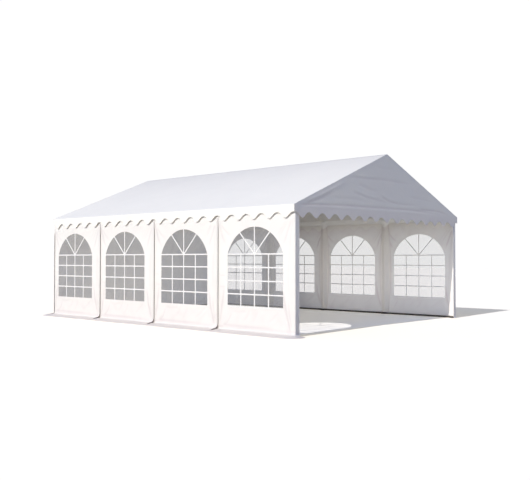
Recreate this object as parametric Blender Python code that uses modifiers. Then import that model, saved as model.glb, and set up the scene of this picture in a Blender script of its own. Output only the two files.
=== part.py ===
"""Marquee tent, 6 m wide and 8 m long in four bays of 2 m, with one gable end open.

Metres, +Z up. The origin is on the ground in the middle of the tent. X runs across the tent and Y along
it: the open gable end faces -Y and the closed one +Y. "Left" is -X and "right" is +X, and bays, legs and
windows are numbered from the open end.

The frame is steel tube: legs on foot plates, eave rails and a ridge rail with sockets, and rafters
between them. The covers are sheets: a roof cover with a scalloped valance along each eave, two gable
sheets, eight side walls with an arched window each, and a plain back wall. Each wall's foot curls
outwards and lies on the ground as a skirt.
"""

import math

import bmesh
import bpy
from mathutils import Matrix, Vector

# Driving dimensions of the tent
WIDTH = 6.0
LENGTH = 8.0
BAY = 2.0
EAVE_HEIGHT = 2.42
RIDGE_HEIGHT = 3.64
ROOF_OVERHANG = 0.05
GABLE_OVERHANG = 0.022

# Sheets, and the gap that touching pieces keep
SHEET = 0.003
GAP = 0.0003

# Scalloped valance: height of its lowest and highest points, and the distance from lobe to lobe
SCALLOP_LOW = 2.18
SCALLOP_HIGH = 2.287
SCALLOP_PITCH = 0.4
SCALLOP_STEPS = 8

# Wall: its upper edge, the curl at its foot, the skirt's reach and the strip round the front corner
WALL_TOP = 2.405
CURL_RADIUS = 0.1
CURL_STEPS = 5
SKIRT_REACH = 0.3
SKIRT_REACH_ENDS = 0.2
CORNER_RADIUS = 0.02
CORNER_STEPS = 4
CORNER_STRIP = 0.12

# Windows: an upright rectangle with a segment of a circle on it, and the middle of each one along Y
WINDOW_WIDTH = 1.45
WINDOW_SILL = 0.48
WINDOW_SPRING = 1.515
WINDOW_CROWN = 2.04
WINDOW_MIDDLES = (-2.985, -0.95, 1.08, 3.08)
WINDOW_ARC_STEPS = 16

# Steel frame
TUBE_RADIUS = 0.02
SOCKET_RADIUS = 0.024
SOCKET_REACH = 0.12
PLATE_SIDE = 0.12
PLATE_THICKNESS = 0.006
ROUND_SIDES = 16

# Worked out from the above
HALF_WIDTH = WIDTH / 2
HALF_LENGTH = LENGTH / 2
ROOF_HALF_WIDTH = HALF_WIDTH + ROOF_OVERHANG
ROOF_HALF_LENGTH = HALF_LENGTH + GABLE_OVERHANG
ROOF_SLOPE = (RIDGE_HEIGHT - EAVE_HEIGHT) / ROOF_HALF_WIDTH
ROOF_ANGLE = math.atan(ROOF_SLOPE)
CLEAR = SHEET / 2 + GAP
FRAME_X = HALF_WIDTH - CLEAR - SOCKET_RADIUS
FRAME_Y = HALF_LENGTH - CLEAR - SOCKET_RADIUS
FRAME_DROP = (CLEAR + SOCKET_RADIUS) / math.cos(ROOF_ANGLE)
RIDGE_AXIS_Z = RIDGE_HEIGHT - FRAME_DROP
EAVE_AXIS_Z = RIDGE_AXIS_Z - ROOF_SLOPE * FRAME_X
LEG_YS = (-FRAME_Y, -BAY, 0.0, BAY, FRAME_Y)
SIDES = {"left": -1, "right": 1}
HELPER = "helper"


def clear_scene():
    """Removes every object of the startup scene."""
    for obj in list(bpy.data.objects):
        bpy.data.objects.remove(obj, do_unlink=True)


def new_collection(name):
    """Adds a collection to the scene."""
    collection = bpy.data.collections.new(name)
    bpy.context.scene.collection.children.link(collection)
    return collection


def new_material(name, colour, roughness, metallic=0.0, alpha=1.0):
    """Makes a Principled BSDF material from a linear colour."""
    material = bpy.data.materials.new(name)
    material.use_nodes = True
    shader = material.node_tree.nodes["Principled BSDF"]
    shader.inputs["Base Color"].default_value = (*colour, 1.0)
    shader.inputs["Roughness"].default_value = roughness
    shader.inputs["Metallic"].default_value = metallic
    shader.inputs["Alpha"].default_value = alpha
    return material


def add_object(name, data, collection, material=None):
    """Puts a mesh or curve in the scene as an object, and hides it where it is a helper."""
    obj = bpy.data.objects.new(name, data)
    collection.objects.link(obj)
    if material:
        data.materials.append(material)
    else:
        obj.hide_render = True
        obj.display_type = "WIRE"
    return obj


def evaluated_mesh(obj):
    """Returns the object's mesh with its modifiers applied and its loose caps welded."""
    bpy.context.view_layer.update()
    graph = bpy.context.evaluated_depsgraph_get()
    mesh = bpy.data.meshes.new_from_object(obj.evaluated_get(graph), depsgraph=graph)
    mesh.transform(obj.matrix_world)
    shape = bmesh.new()
    shape.from_mesh(mesh)
    bmesh.ops.remove_doubles(shape, verts=shape.verts, dist=1e-5)
    bmesh.ops.recalc_face_normals(shape, faces=shape.faces)
    shape.to_mesh(mesh)
    shape.free()
    return mesh


def as_mesh(obj, name, collection, material=None):
    """Replaces an object by a plain mesh object of the same shape."""
    mesh = evaluated_mesh(obj)
    mesh.name = name
    mesh.materials.clear()
    bpy.data.objects.remove(obj, do_unlink=True)
    return add_object(name, mesh, collection, material)


def cylinder(name, start, end, radius, collection, material=None):
    """A round bar from start to end, with a corner of its section towards each axis."""
    start, end = Vector(start), Vector(end)
    along = end - start
    mesh = bpy.data.meshes.new(name)
    shape = bmesh.new()
    bmesh.ops.create_cone(
        shape, cap_ends=True, segments=ROUND_SIDES, radius1=radius, radius2=radius, depth=along.length
    )
    turn = along.to_track_quat("Z", "Y").to_matrix().to_4x4()
    bmesh.ops.transform(shape, matrix=Matrix.Translation((start + end) / 2) @ turn, verts=shape.verts)
    shape.to_mesh(mesh)
    shape.free()
    for polygon in mesh.polygons:
        polygon.use_smooth = len(polygon.vertices) == 4
    return add_object(name, mesh, collection, material)


def box(name, low, high, collection, material=None):
    """A block between two corners."""
    low, high = Vector(low), Vector(high)
    mesh = bpy.data.meshes.new(name)
    shape = bmesh.new()
    bmesh.ops.create_cube(shape, size=1.0)
    place = Matrix.Translation((low + high) / 2) @ Matrix.Diagonal((*(high - low), 1.0))
    bmesh.ops.transform(shape, matrix=place, verts=shape.verts)
    shape.to_mesh(mesh)
    shape.free()
    return add_object(name, mesh, collection, material)


def boolean(obj, other, operation):
    """Adds a Boolean modifier with the exact solver."""
    modifier = obj.modifiers.new(operation.capitalize(), "BOOLEAN")
    modifier.operation = operation
    modifier.solver = "EXACT"
    modifier.object = other


def fused(name, base, others, collection, material):
    """One solid made of a base and the helpers that overlap it."""
    for other in others:
        boolean(base, other, "UNION")
    solid = as_mesh(base, name, collection, material)
    for other in others:
        bpy.data.objects.remove(other, do_unlink=True)
    return solid


def poly_curve(name, points, closed, collection):
    """A flat curve of straight pieces through the points, in its own XY plane."""
    curve = bpy.data.curves.new(name, "CURVE")
    curve.dimensions = "2D"
    spline = curve.splines.new("POLY")
    spline.points.add(len(points) - 1)
    for place, (across, up) in zip(spline.points, points):
        place.co = (across, up, 0.0, 1.0)
    spline.use_cyclic_u = closed
    return add_object(name, curve, collection)


def flat_sheet(name, outline, depth, matrix, collection, material=None):
    """A sheet with the given outline, extruded by half its depth to each side of its plane."""
    curve = poly_curve(HELPER, outline, True, collection)
    curve.data.fill_mode = "BOTH"
    curve.data.extrude = depth / 2
    curve.matrix_world = matrix
    return as_mesh(curve, name, collection, material)


def upright_across(y):
    """The plane at this Y, with the sheet's own X across the tent and its Y up."""
    return Matrix.Translation((0, y, 0)) @ Matrix.Rotation(math.pi / 2, 4, "X")


def upright_along(x):
    """The plane at this X, with the sheet's own X along the tent and its Y up."""
    return Matrix.Translation((x, 0, 0)) @ Matrix.Rotation(math.pi / 2, 4, "Z") @ upright_across(0)


def roof_height(x):
    """Height of the middle of the roof sheet."""
    return RIDGE_HEIGHT - ROOF_SLOPE * abs(x)


def scallop_height(along):
    """Height of the valance's lower edge: highest at the tent's corners and at every pitch from there."""
    middle = (SCALLOP_LOW + SCALLOP_HIGH) / 2
    swing = (SCALLOP_HIGH - SCALLOP_LOW) / 2
    return middle + swing * math.cos(2 * math.pi * along / SCALLOP_PITCH)


def scallop_points(half, corner):
    """Points of the lower edge from -half to half, where corner is the distance of a high point."""
    steps = round(2 * half / SCALLOP_PITCH * SCALLOP_STEPS)
    alongs = [half * (2 * step / steps - 1) for step in range(steps + 1)]
    return [(along, scallop_height(along - corner)) for along in alongs]


def make_leg(side, number, y, collection, steel):
    """A leg tube on its foot plate, which reaches inwards only."""
    x = SIDES[side] * FRAME_X
    top = EAVE_AXIS_Z - SOCKET_REACH - GAP
    leg = cylinder(HELPER, (x, y, PLATE_THICKNESS / 2), (x, y, top), TUBE_RADIUS, collection)
    inner_x = x - SIDES[side] * (PLATE_SIDE - SOCKET_RADIUS)
    outer_x = x + SIDES[side] * SOCKET_RADIUS
    shift = -math.copysign(PLATE_SIDE / 2 - SOCKET_RADIUS, y) if abs(y) == FRAME_Y else 0.0
    low = (min(inner_x, outer_x), y + shift - PLATE_SIDE / 2, 0.0)
    high = (max(inner_x, outer_x), y + shift + PLATE_SIDE / 2, PLATE_THICKNESS)
    plate = box(HELPER, low, high, collection)
    fused(f"leg_{side}_{number}", plate, [leg], collection, steel)


def make_eave_rail(side, collection, steel):
    """A rail along the eave with a socket for each leg and each rafter."""
    x = SIDES[side] * FRAME_X
    end = FRAME_Y + TUBE_RADIUS
    rail = cylinder(HELPER, (x, -end, EAVE_AXIS_Z), (x, end, EAVE_AXIS_Z), TUBE_RADIUS, collection)
    inwards = Vector((-SIDES[side] * math.cos(ROOF_ANGLE), 0, math.sin(ROOF_ANGLE)))
    sockets = []
    for y in LEG_YS:
        joint = Vector((x, y, EAVE_AXIS_Z))
        for reach in (Vector((0, 0, -1)), inwards):
            sockets.append(
                cylinder(HELPER, joint, joint + reach * SOCKET_REACH, SOCKET_RADIUS, collection)
            )
    fused(f"eave_rail_{side}", rail, sockets, collection, steel)


def make_ridge_rail(collection, steel):
    """The rail along the ridge with two sockets at each pair of rafters."""
    end = FRAME_Y + TUBE_RADIUS
    rail = cylinder(HELPER, (0, -end, RIDGE_AXIS_Z), (0, end, RIDGE_AXIS_Z), TUBE_RADIUS, collection)
    sockets = []
    for y in LEG_YS:
        joint = Vector((0, y, RIDGE_AXIS_Z))
        for side in SIDES.values():
            down = Vector((side * math.cos(ROOF_ANGLE), 0, -math.sin(ROOF_ANGLE)))
            sockets.append(
                cylinder(HELPER, joint, joint + down * SOCKET_REACH, SOCKET_RADIUS, collection)
            )
    fused("ridge_rail", rail, sockets, collection, steel)


def make_rafter(side, number, y, collection, steel):
    """A straight tube between the eave's socket and the ridge's."""
    eave = Vector((SIDES[side] * FRAME_X, y, EAVE_AXIS_Z))
    ridge = Vector((0, y, RIDGE_AXIS_Z))
    inset = (ridge - eave).normalized() * (SOCKET_REACH + GAP)
    cylinder(f"rafter_{side}_{number}", eave + inset, ridge - inset, TUBE_RADIUS, collection, steel)


def make_ground_rails(collection, paint):
    """Rails on the foot plates, just inside the legs: one along each side and one across the back."""
    x = FRAME_X - 2 * TUBE_RADIUS - GAP
    y = FRAME_Y - 2 * TUBE_RADIUS - GAP
    z = PLATE_THICKNESS + GAP + TUBE_RADIUS
    for side, sign in SIDES.items():
        start = (sign * x, -FRAME_Y - TUBE_RADIUS, z)
        end = (sign * x, FRAME_Y + TUBE_RADIUS, z)
        cylinder(f"ground_rail_{side}", start, end, TUBE_RADIUS, collection, paint)
    reach = x - TUBE_RADIUS - GAP
    cylinder("ground_rail_back", (-reach, y, z), (reach, y, z), TUBE_RADIUS, collection, paint)


def wall_section():
    """Outline of a wall from its upper edge to the skirt's rim: distance outwards, and height."""
    rest = SHEET / 2
    points = [(0.0, WALL_TOP)]
    for step in range(CURL_STEPS + 1):
        angle = math.pi / 2 * step / CURL_STEPS
        outwards = CURL_RADIUS * (1 - math.cos(angle))
        points.append((outwards, rest + CURL_RADIUS * (1 - math.sin(angle))))
    points.append((SKIRT_REACH, rest))
    return points


def wall_sheet(name, route, collection):
    """The wall's section swept along a route in plan, with the outside on the route's right."""
    profile = poly_curve(HELPER, wall_section(), False, collection)
    path = poly_curve(HELPER, route, False, collection)
    path.data.bevel_mode = "OBJECT"
    path.data.bevel_object = profile
    sheet = as_mesh(path, name, collection)
    bpy.data.objects.remove(profile, do_unlink=True)
    thickness = sheet.modifiers.new("Thickness", "SOLIDIFY")
    thickness.thickness = SHEET
    thickness.offset = 0.0
    thickness.use_even_offset = True
    return sheet


def window_outline(middle, margin=0.0):
    """Outline of a window: the sill and jambs, and an arc from spring to spring over the crown."""
    half = WINDOW_WIDTH / 2
    rise = WINDOW_CROWN - WINDOW_SPRING
    radius = (half**2 + rise**2) / (2 * rise)
    centre = WINDOW_CROWN - radius
    sweep = math.atan2(half, WINDOW_SPRING - centre)
    points = [(middle - half + margin, WINDOW_SILL + margin), (middle + half - margin, WINDOW_SILL + margin)]
    for step in range(WINDOW_ARC_STEPS + 1):
        angle = sweep * (1 - 2 * step / WINDOW_ARC_STEPS)
        reach = radius - margin
        points.append((middle + reach * math.sin(angle), centre + reach * math.cos(angle)))
    return points


def finish_wall(name, sheet, cutters, collection, fabric):
    """Cuts a wall sheet and stores it as a plain mesh."""
    for cutter in cutters:
        boolean(sheet, cutter, "DIFFERENCE")
    return as_mesh(sheet, name, collection, fabric)


def corner_arc(centre, start_angle):
    """Points of a quarter turn, counter-clockwise in plan, round a corner of the walls."""
    points = []
    for step in range(CORNER_STEPS + 1):
        angle = start_angle + math.pi / 2 * step / CORNER_STEPS
        points.append(
            (centre[0] + CORNER_RADIUS * math.cos(angle), centre[1] + CORNER_RADIUS * math.sin(angle))
        )
    return points


def side_route(number):
    """Route of a left wall in plan: the first bay's turns the front corner, the last stops at the back's."""
    front = -HALF_LENGTH + (number - 1) * BAY
    back = front + BAY
    if number == 1:
        centre = (-HALF_WIDTH + CORNER_RADIUS, -HALF_LENGTH + CORNER_RADIUS)
        turn = corner_arc(centre, math.pi)
        return [(-HALF_WIDTH, back - GAP), *turn, (-HALF_WIDTH + CORNER_STRIP, -HALF_LENGTH)]
    if number == len(WINDOW_MIDDLES):
        back = HALF_LENGTH - CORNER_RADIUS
    return [(-HALF_WIDTH, back - GAP), (-HALF_WIDTH, front)]


def back_route():
    """Route of the back wall in plan, from one side round both corners to the other."""
    inset = HALF_WIDTH - CORNER_RADIUS
    right = corner_arc((inset, HALF_LENGTH - CORNER_RADIUS), 0.0)
    left = corner_arc((-inset, HALF_LENGTH - CORNER_RADIUS), math.pi / 2)
    return [*right, *left]


def make_walls(collection, cutters, fabric, film):
    """The eight side walls with their windows, and the back wall."""
    reach = HALF_LENGTH + SKIRT_REACH_ENDS
    far = HALF_LENGTH + 2 * SKIRT_REACH
    wide = HALF_WIDTH + 2 * SKIRT_REACH
    ends = [
        box("skirt_end_front", (-wide, -far, -SHEET), (wide, -reach, WALL_TOP), cutters),
        box("skirt_end_back", (-wide, reach, -SHEET), (wide, far, WALL_TOP), cutters),
    ]
    for number, middle in enumerate(WINDOW_MIDDLES, start=1):
        hole = flat_sheet(
            f"window_cutter_{number}", window_outline(middle), 2 * WIDTH, upright_along(0), cutters
        )
        walls = {"left": wall_sheet(HELPER, side_route(number), cutters)}
        walls["right"] = walls["left"].copy()
        walls["right"].data = walls["left"].data.copy()
        cutters.objects.link(walls["right"])
        walls["right"].data.transform(Matrix.Diagonal((-1, 1, 1, 1)))
        walls["right"].data.flip_normals()
        for side, sign in SIDES.items():
            finish_wall(f"wall_{side}_{number}", walls[side], [hole, *ends], collection, fabric)
            flat_sheet(
                f"window_{side}_{number}",
                window_outline(middle, GAP),
                SHEET,
                upright_along(sign * HALF_WIDTH),
                collection,
                film,
            )
    finish_wall("wall_back", wall_sheet(HELPER, back_route(), cutters), ends, collection, fabric)


def make_roof_cover(collection, cutters, fabric):
    """Both roof slopes and the valances along the eaves, as one sheet folded over the frame."""
    section = [
        (-ROOF_HALF_WIDTH, SCALLOP_LOW - SHEET),
        (-ROOF_HALF_WIDTH, EAVE_HEIGHT),
        (0.0, RIDGE_HEIGHT),
        (ROOF_HALF_WIDTH, EAVE_HEIGHT),
        (ROOF_HALF_WIDTH, SCALLOP_LOW - SHEET),
    ]
    curve = poly_curve(HELPER, section, False, cutters)
    curve.data.extrude = ROOF_HALF_LENGTH
    curve.matrix_world = upright_across(0)
    sheet = as_mesh(curve, HELPER, cutters)
    thickness = sheet.modifiers.new("Thickness", "SOLIDIFY")
    thickness.thickness = SHEET
    thickness.offset = 0.0
    thickness.use_even_offset = True
    beyond = ROOF_HALF_LENGTH + SCALLOP_PITCH / SCALLOP_STEPS
    below = SCALLOP_LOW - SCALLOP_PITCH
    comb = [(-beyond, below), *scallop_points(beyond, HALF_LENGTH), (beyond, below)]
    cutter = flat_sheet("scallop_cutter", comb, 2 * WIDTH, upright_along(0), cutters)
    boolean(sheet, cutter, "DIFFERENCE")
    as_mesh(sheet, "roof_cover", collection, fabric)


def make_gable(name, y, collection, fabric):
    """A triangular sheet under the roof's edge with a scalloped band below it."""
    half = ROOF_HALF_WIDTH - CLEAR
    under = (SHEET / 2 + GAP) / math.cos(ROOF_ANGLE)
    peak = (0.0, RIDGE_HEIGHT - under)
    shoulders = [(sign * half, roof_height(half) - under) for sign in (1, -1)]
    outline = [*scallop_points(half, HALF_WIDTH), shoulders[0], peak, shoulders[1]]
    flat_sheet(name, outline, SHEET, upright_across(y), collection, fabric)


def main():
    """Builds the tent."""
    clear_scene()
    tent = new_collection("marquee_tent")
    cutters = new_collection("cutters")
    cutters.hide_render = True
    fabric = new_material("white_coated_fabric", (0.86, 0.86, 0.87), 0.55)
    film = new_material("clear_film", (0.62, 0.64, 0.66), 0.12, alpha=0.45)
    steel = new_material("galvanised_steel", (0.55, 0.56, 0.58), 0.4, metallic=0.9)
    paint = new_material("dark_painted_steel", (0.045, 0.04, 0.036), 0.5)
    for side in SIDES:
        for number, y in enumerate(LEG_YS, start=1):
            make_leg(side, number, y, tent, steel)
            make_rafter(side, number, y, tent, steel)
        make_eave_rail(side, tent, steel)
    make_ridge_rail(tent, steel)
    make_ground_rails(tent, paint)
    make_walls(tent, cutters, fabric, film)
    make_roof_cover(tent, cutters, fabric)
    make_gable("gable_front", -HALF_LENGTH - GABLE_OVERHANG + SHEET / 2, tent, fabric)
    make_gable("gable_back", HALF_LENGTH + GABLE_OVERHANG - SHEET / 2, tent, fabric)


main()
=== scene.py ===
"""Looks of a marquee tent, 6 m by 8 m in four bays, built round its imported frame.

Metres, +Z up. The origin is on the ground in the middle of the tent. The open gable end faces -Y, left is -X
and right is +X, and bays, legs and windows are numbered from the open end. Every sheet of cloth is a grid of
points that follows the solid it stands for, with its folds worked out as heights above that surface.
"""

import logging
import math
from dataclasses import dataclass, field
from enum import Enum

import bpy
import numpy as np
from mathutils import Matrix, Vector


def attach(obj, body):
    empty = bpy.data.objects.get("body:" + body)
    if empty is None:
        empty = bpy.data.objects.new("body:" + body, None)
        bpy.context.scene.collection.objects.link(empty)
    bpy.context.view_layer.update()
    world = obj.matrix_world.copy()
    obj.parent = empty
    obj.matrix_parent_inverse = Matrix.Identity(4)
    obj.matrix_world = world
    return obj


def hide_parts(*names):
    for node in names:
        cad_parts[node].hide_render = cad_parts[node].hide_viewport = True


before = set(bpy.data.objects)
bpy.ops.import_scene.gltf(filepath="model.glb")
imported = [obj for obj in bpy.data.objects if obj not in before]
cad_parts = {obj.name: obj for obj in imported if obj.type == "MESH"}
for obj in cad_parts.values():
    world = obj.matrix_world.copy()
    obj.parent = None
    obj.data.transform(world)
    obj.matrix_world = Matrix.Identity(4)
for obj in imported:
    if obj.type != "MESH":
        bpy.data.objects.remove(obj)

LOG = logging.getLogger("marquee")

HALF_WIDTH = 3.0
HALF_LENGTH = 4.0
BAY = 2.0
EAVE_HEIGHT = 2.42
RIDGE_HEIGHT = 3.64
ROOF_HALF_WIDTH = 3.05
ROOF_HALF_LENGTH = 4.022
ROOF_SLOPE = (RIDGE_HEIGHT - EAVE_HEIGHT) / ROOF_HALF_WIDTH
SCALLOP_LOW = 2.18
SCALLOP_HIGH = 2.287
SCALLOP_PITCH = 0.4
WALL_TOP = 2.405
FOOT_RADIUS = 0.035
FOOT_TURN = math.radians(84)
REST = 0.0015
CORNER_RADIUS = 0.02
CORNER_STRIP = 0.12
WINDOW_HALF = 0.725
WINDOW_SILL = 0.48
WINDOW_SPRING = 1.515
WINDOW_CROWN = 2.04
WINDOW_MIDDLES = (-2.985, -0.95, 1.08, 3.08)
ARC_RADIUS = (WINDOW_HALF**2 + (WINDOW_CROWN - WINDOW_SPRING) ** 2) / (2 * (WINDOW_CROWN - WINDOW_SPRING))
ARC_CENTRE = WINDOW_CROWN - ARC_RADIUS
FRAME_X = 2.9742
LEG_YS = (-3.9742, -2.0, 0.0, 2.0, 3.9742)
EAVE_AXIS_Z = 2.4225
RIDGE_AXIS_Z = 3.6122
CLOTH = 0.0024


class Side(Enum):
    """A long side of the tent, by the sign of its X."""

    LEFT = -1
    RIGHT = 1

    @property
    def label(self) -> str:
        """The word that the nodes' names have for this side."""
        return self.name.lower()


class Slot(Enum):
    """The record's material slots."""

    FABRIC = "cover_fabric"
    FILM = "window_film"
    STEEL = "frame_steel"
    PAINT = "ground_rail_paint"


def smooth_step(value: np.ndarray, low: float, high: float) -> np.ndarray:
    """Goes from 0 at low to 1 at high along the cubic that is level at both ends.

    Args:
        value: the values to map.
        low: where the result leaves 0.
        high: where the result reaches 1.

    Returns:
        The mapped values.
    """
    share = np.clip((value - low) / (high - low), 0.0, 1.0)
    return share * share * (3.0 - 2.0 * share)


def roof_height(x: np.ndarray) -> np.ndarray:
    """Height of the middle of the roof cloth: it falls by the slope times the distance from the ridge."""
    return RIDGE_HEIGHT - ROOF_SLOPE * np.abs(x)


def scallop_height(along: np.ndarray) -> np.ndarray:
    """Height of a valance's lower edge: a cosine, highest at every pitch from the tent's corner.

    A fifth of its squared sine is added, which leaves the notches a little wider than the lobes.
    """
    middle = (SCALLOP_LOW + SCALLOP_HIGH) / 2
    swing = (SCALLOP_HIGH - SCALLOP_LOW) / 2
    turn = 2 * np.pi * along / SCALLOP_PITCH
    return middle + swing * (np.cos(turn) + 0.2 * np.sin(turn) ** 2)


def arch_height(across: np.ndarray) -> np.ndarray:
    """Height of a window's upper edge: the circle through both springs and the crown."""
    reach = np.sqrt(np.maximum(ARC_RADIUS**2 - across**2, 0.0))
    return ARC_CENTRE + reach


def window_distance(across: np.ndarray, height: np.ndarray) -> np.ndarray:
    """Distance from a window's outline, 0 inside it.

    Below the spring it is the distance to a rectangle, above it the distance to a circle.

    Args:
        across: distance from the window's middle.
        height: height above the ground.

    Returns:
        The distances in metres.
    """
    beside = np.maximum(np.abs(across) - WINDOW_HALF, 0.0)
    below = np.maximum(WINDOW_SILL - height, 0.0)
    round_part = np.maximum(np.hypot(across, height - ARC_CENTRE) - ARC_RADIUS, 0.0)
    return np.where(height > WINDOW_SPRING, round_part, np.hypot(beside, below))


@dataclass(frozen=True)
class Crease:
    """A fold that runs along a line on a sheet.

    Its height above the sheet is its rise times a bell across the line, and it dies out towards both ends.

    Attributes:
        path: points of the line in the sheet's own metres.
        width: half width of the bell where the line starts.
        rise: height of the fold, outwards if positive.
        shade: painted shade along the fold, how much darker the cloth is drawn there, from 0 to 1.
        spread: the bell's width at the line's end, as a share of its width at the start.
        fade: share of the line over which the fold rises from its start.
    """

    path: tuple[tuple[float, float], ...]
    width: float
    rise: float
    shade: float = 0.0
    spread: float = 1.0
    fade: float = 0.15

    def stations(self, count: int = 20) -> np.ndarray:
        """Points along the line, spaced evenly and rounded where it bends."""
        knots = np.array(self.path, float)
        steps = np.concatenate([[0.0], np.cumsum(np.hypot(*np.diff(knots, axis=0).T))])
        at = np.linspace(0.0, steps[-1], count)
        line = np.column_stack([np.interp(at, steps, knots[:, axis]) for axis in (0, 1)])
        for _ in range(3):
            line[1:-1] = (line[:-2] + 2 * line[1:-1] + line[2:]) / 4
        return line

    def field(self, u: np.ndarray, v: np.ndarray) -> tuple[np.ndarray, np.ndarray]:
        """Height and shade of the fold at points of the sheet.

        Each point takes the nearest piece of the line. The bell is exp(-(distance / width)^2).

        Args:
            u: first coordinate of the points.
            v: second coordinate of the points.

        Returns:
            The height in metres, and the shade from 0 to 1.
        """
        line = self.stations()
        start, step = line[:-1], np.diff(line, axis=0)
        offset = np.stack([u, v], axis=-1)[..., None, :] - start
        share = np.clip((offset * step).sum(-1) / (step**2).sum(-1), 0.0, 1.0)
        away = np.linalg.norm(offset - share[..., None] * step, axis=-1)
        nearest = away.argmin(-1)[..., None]
        distance = np.take_along_axis(away, nearest, -1)[..., 0]
        along = (nearest[..., 0] + np.take_along_axis(share, nearest, -1)[..., 0]) / len(step)
        width = self.width * (1 + (self.spread - 1) * along)
        taper = smooth_step(along, 0.0, self.fade) * (1 - smooth_step(along, 0.62, 1.0))
        bell = np.exp(-((distance / width) ** 2)) * taper
        # Painted shade of the fold: a narrower bell along its line.
        painted_line_shade = np.exp(-((distance / (0.75 * width)) ** 2)) * taper
        return self.rise * bell, self.shade * painted_line_shade


def fold_field(creases: list[Crease], u: np.ndarray, v: np.ndarray) -> tuple[np.ndarray, np.ndarray]:
    """Sum of the heights and shades of several folds at points of a sheet."""
    height, shade = np.zeros_like(u), np.zeros_like(u)
    for crease in creases:
        more_height, more_shade = crease.field(u, v)
        height += more_height
        shade += more_shade
    return height, shade


def ripples(u: np.ndarray, v: np.ndarray, seed: int, length: float, depth: float) -> np.ndarray:
    """Soft unevenness of a hanging sheet: a sum of eight sine waves with seeded directions and phases.

    Args:
        u: first coordinate of the points.
        v: second coordinate of the points.
        seed: seed of the directions and phases.
        length: middle wavelength.
        depth: largest height, about.

    Returns:
        The heights in metres.
    """
    draw = np.random.default_rng(seed)
    angles = draw.uniform(0, np.pi, 8)
    waves = 2 * np.pi / (length * draw.uniform(0.6, 1.7, 8))
    phases = draw.uniform(0, 2 * np.pi, 8)
    swing = u[..., None] * np.cos(angles) + v[..., None] * np.sin(angles)
    return depth * np.sin(swing * waves + phases).sum(-1) / 4


def moved(creases: tuple[Crease, ...], seed: int, reach: float) -> list[Crease]:
    """Copies of the folds with every knot shifted a little and every rise changed a little.

    Args:
        creases: the folds.
        seed: seed of the shifts.
        reach: largest shift in metres.

    Returns:
        The new folds.
    """
    draw = np.random.default_rng(seed)
    result = []
    for crease in creases:
        knots = np.array(crease.path) + draw.uniform(-reach, reach, (len(crease.path), 2))
        share = draw.uniform(0.85, 1.15)
        path = tuple((float(u), float(v)) for u, v in knots)
        result.append(
            Crease(path, crease.width, crease.rise * share, crease.shade * share, crease.spread, crease.fade)
        )
    return result


def srgb(code: str) -> tuple[float, float, float, float]:
    """Turns a hex colour such as "F2F2F0" into linear red, green, blue and alpha 1."""
    values = [int(code[start : start + 2], 16) / 255 for start in (0, 2, 4)]
    linear = [c / 12.92 if c <= 0.04045 else ((c + 0.055) / 1.055) ** 2.4 for c in values]
    return (linear[0], linear[1], linear[2], 1.0)


def add_node(tree: bpy.types.NodeTree, kind: str, inputs: dict | None = None, **settings) -> bpy.types.Node:
    """Adds a node with its settings and links.

    Args:
        tree: the node tree.
        kind: the node's type, such as ShaderNodeTexNoise.
        inputs: input name or number to a plain value, or to the output socket that feeds it.
        settings: the node's own properties.

    Returns:
        The node.
    """
    made = tree.nodes.new(kind)
    for name, value in settings.items():
        setattr(made, name, value)
    for name, value in (inputs or {}).items():
        if isinstance(value, bpy.types.NodeSocket):
            tree.links.new(value, made.inputs[name])
        else:
            made.inputs[name].default_value = value
    return made


def new_material(name: str) -> tuple[bpy.types.Material, bpy.types.NodeTree, bpy.types.Node]:
    """Makes a material with an empty tree that has only its output node."""
    material = bpy.data.materials.new(name)
    material.use_nodes = True
    material.node_tree.nodes.clear()
    output = add_node(material.node_tree, "ShaderNodeOutputMaterial")
    return material, material.node_tree, output


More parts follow.
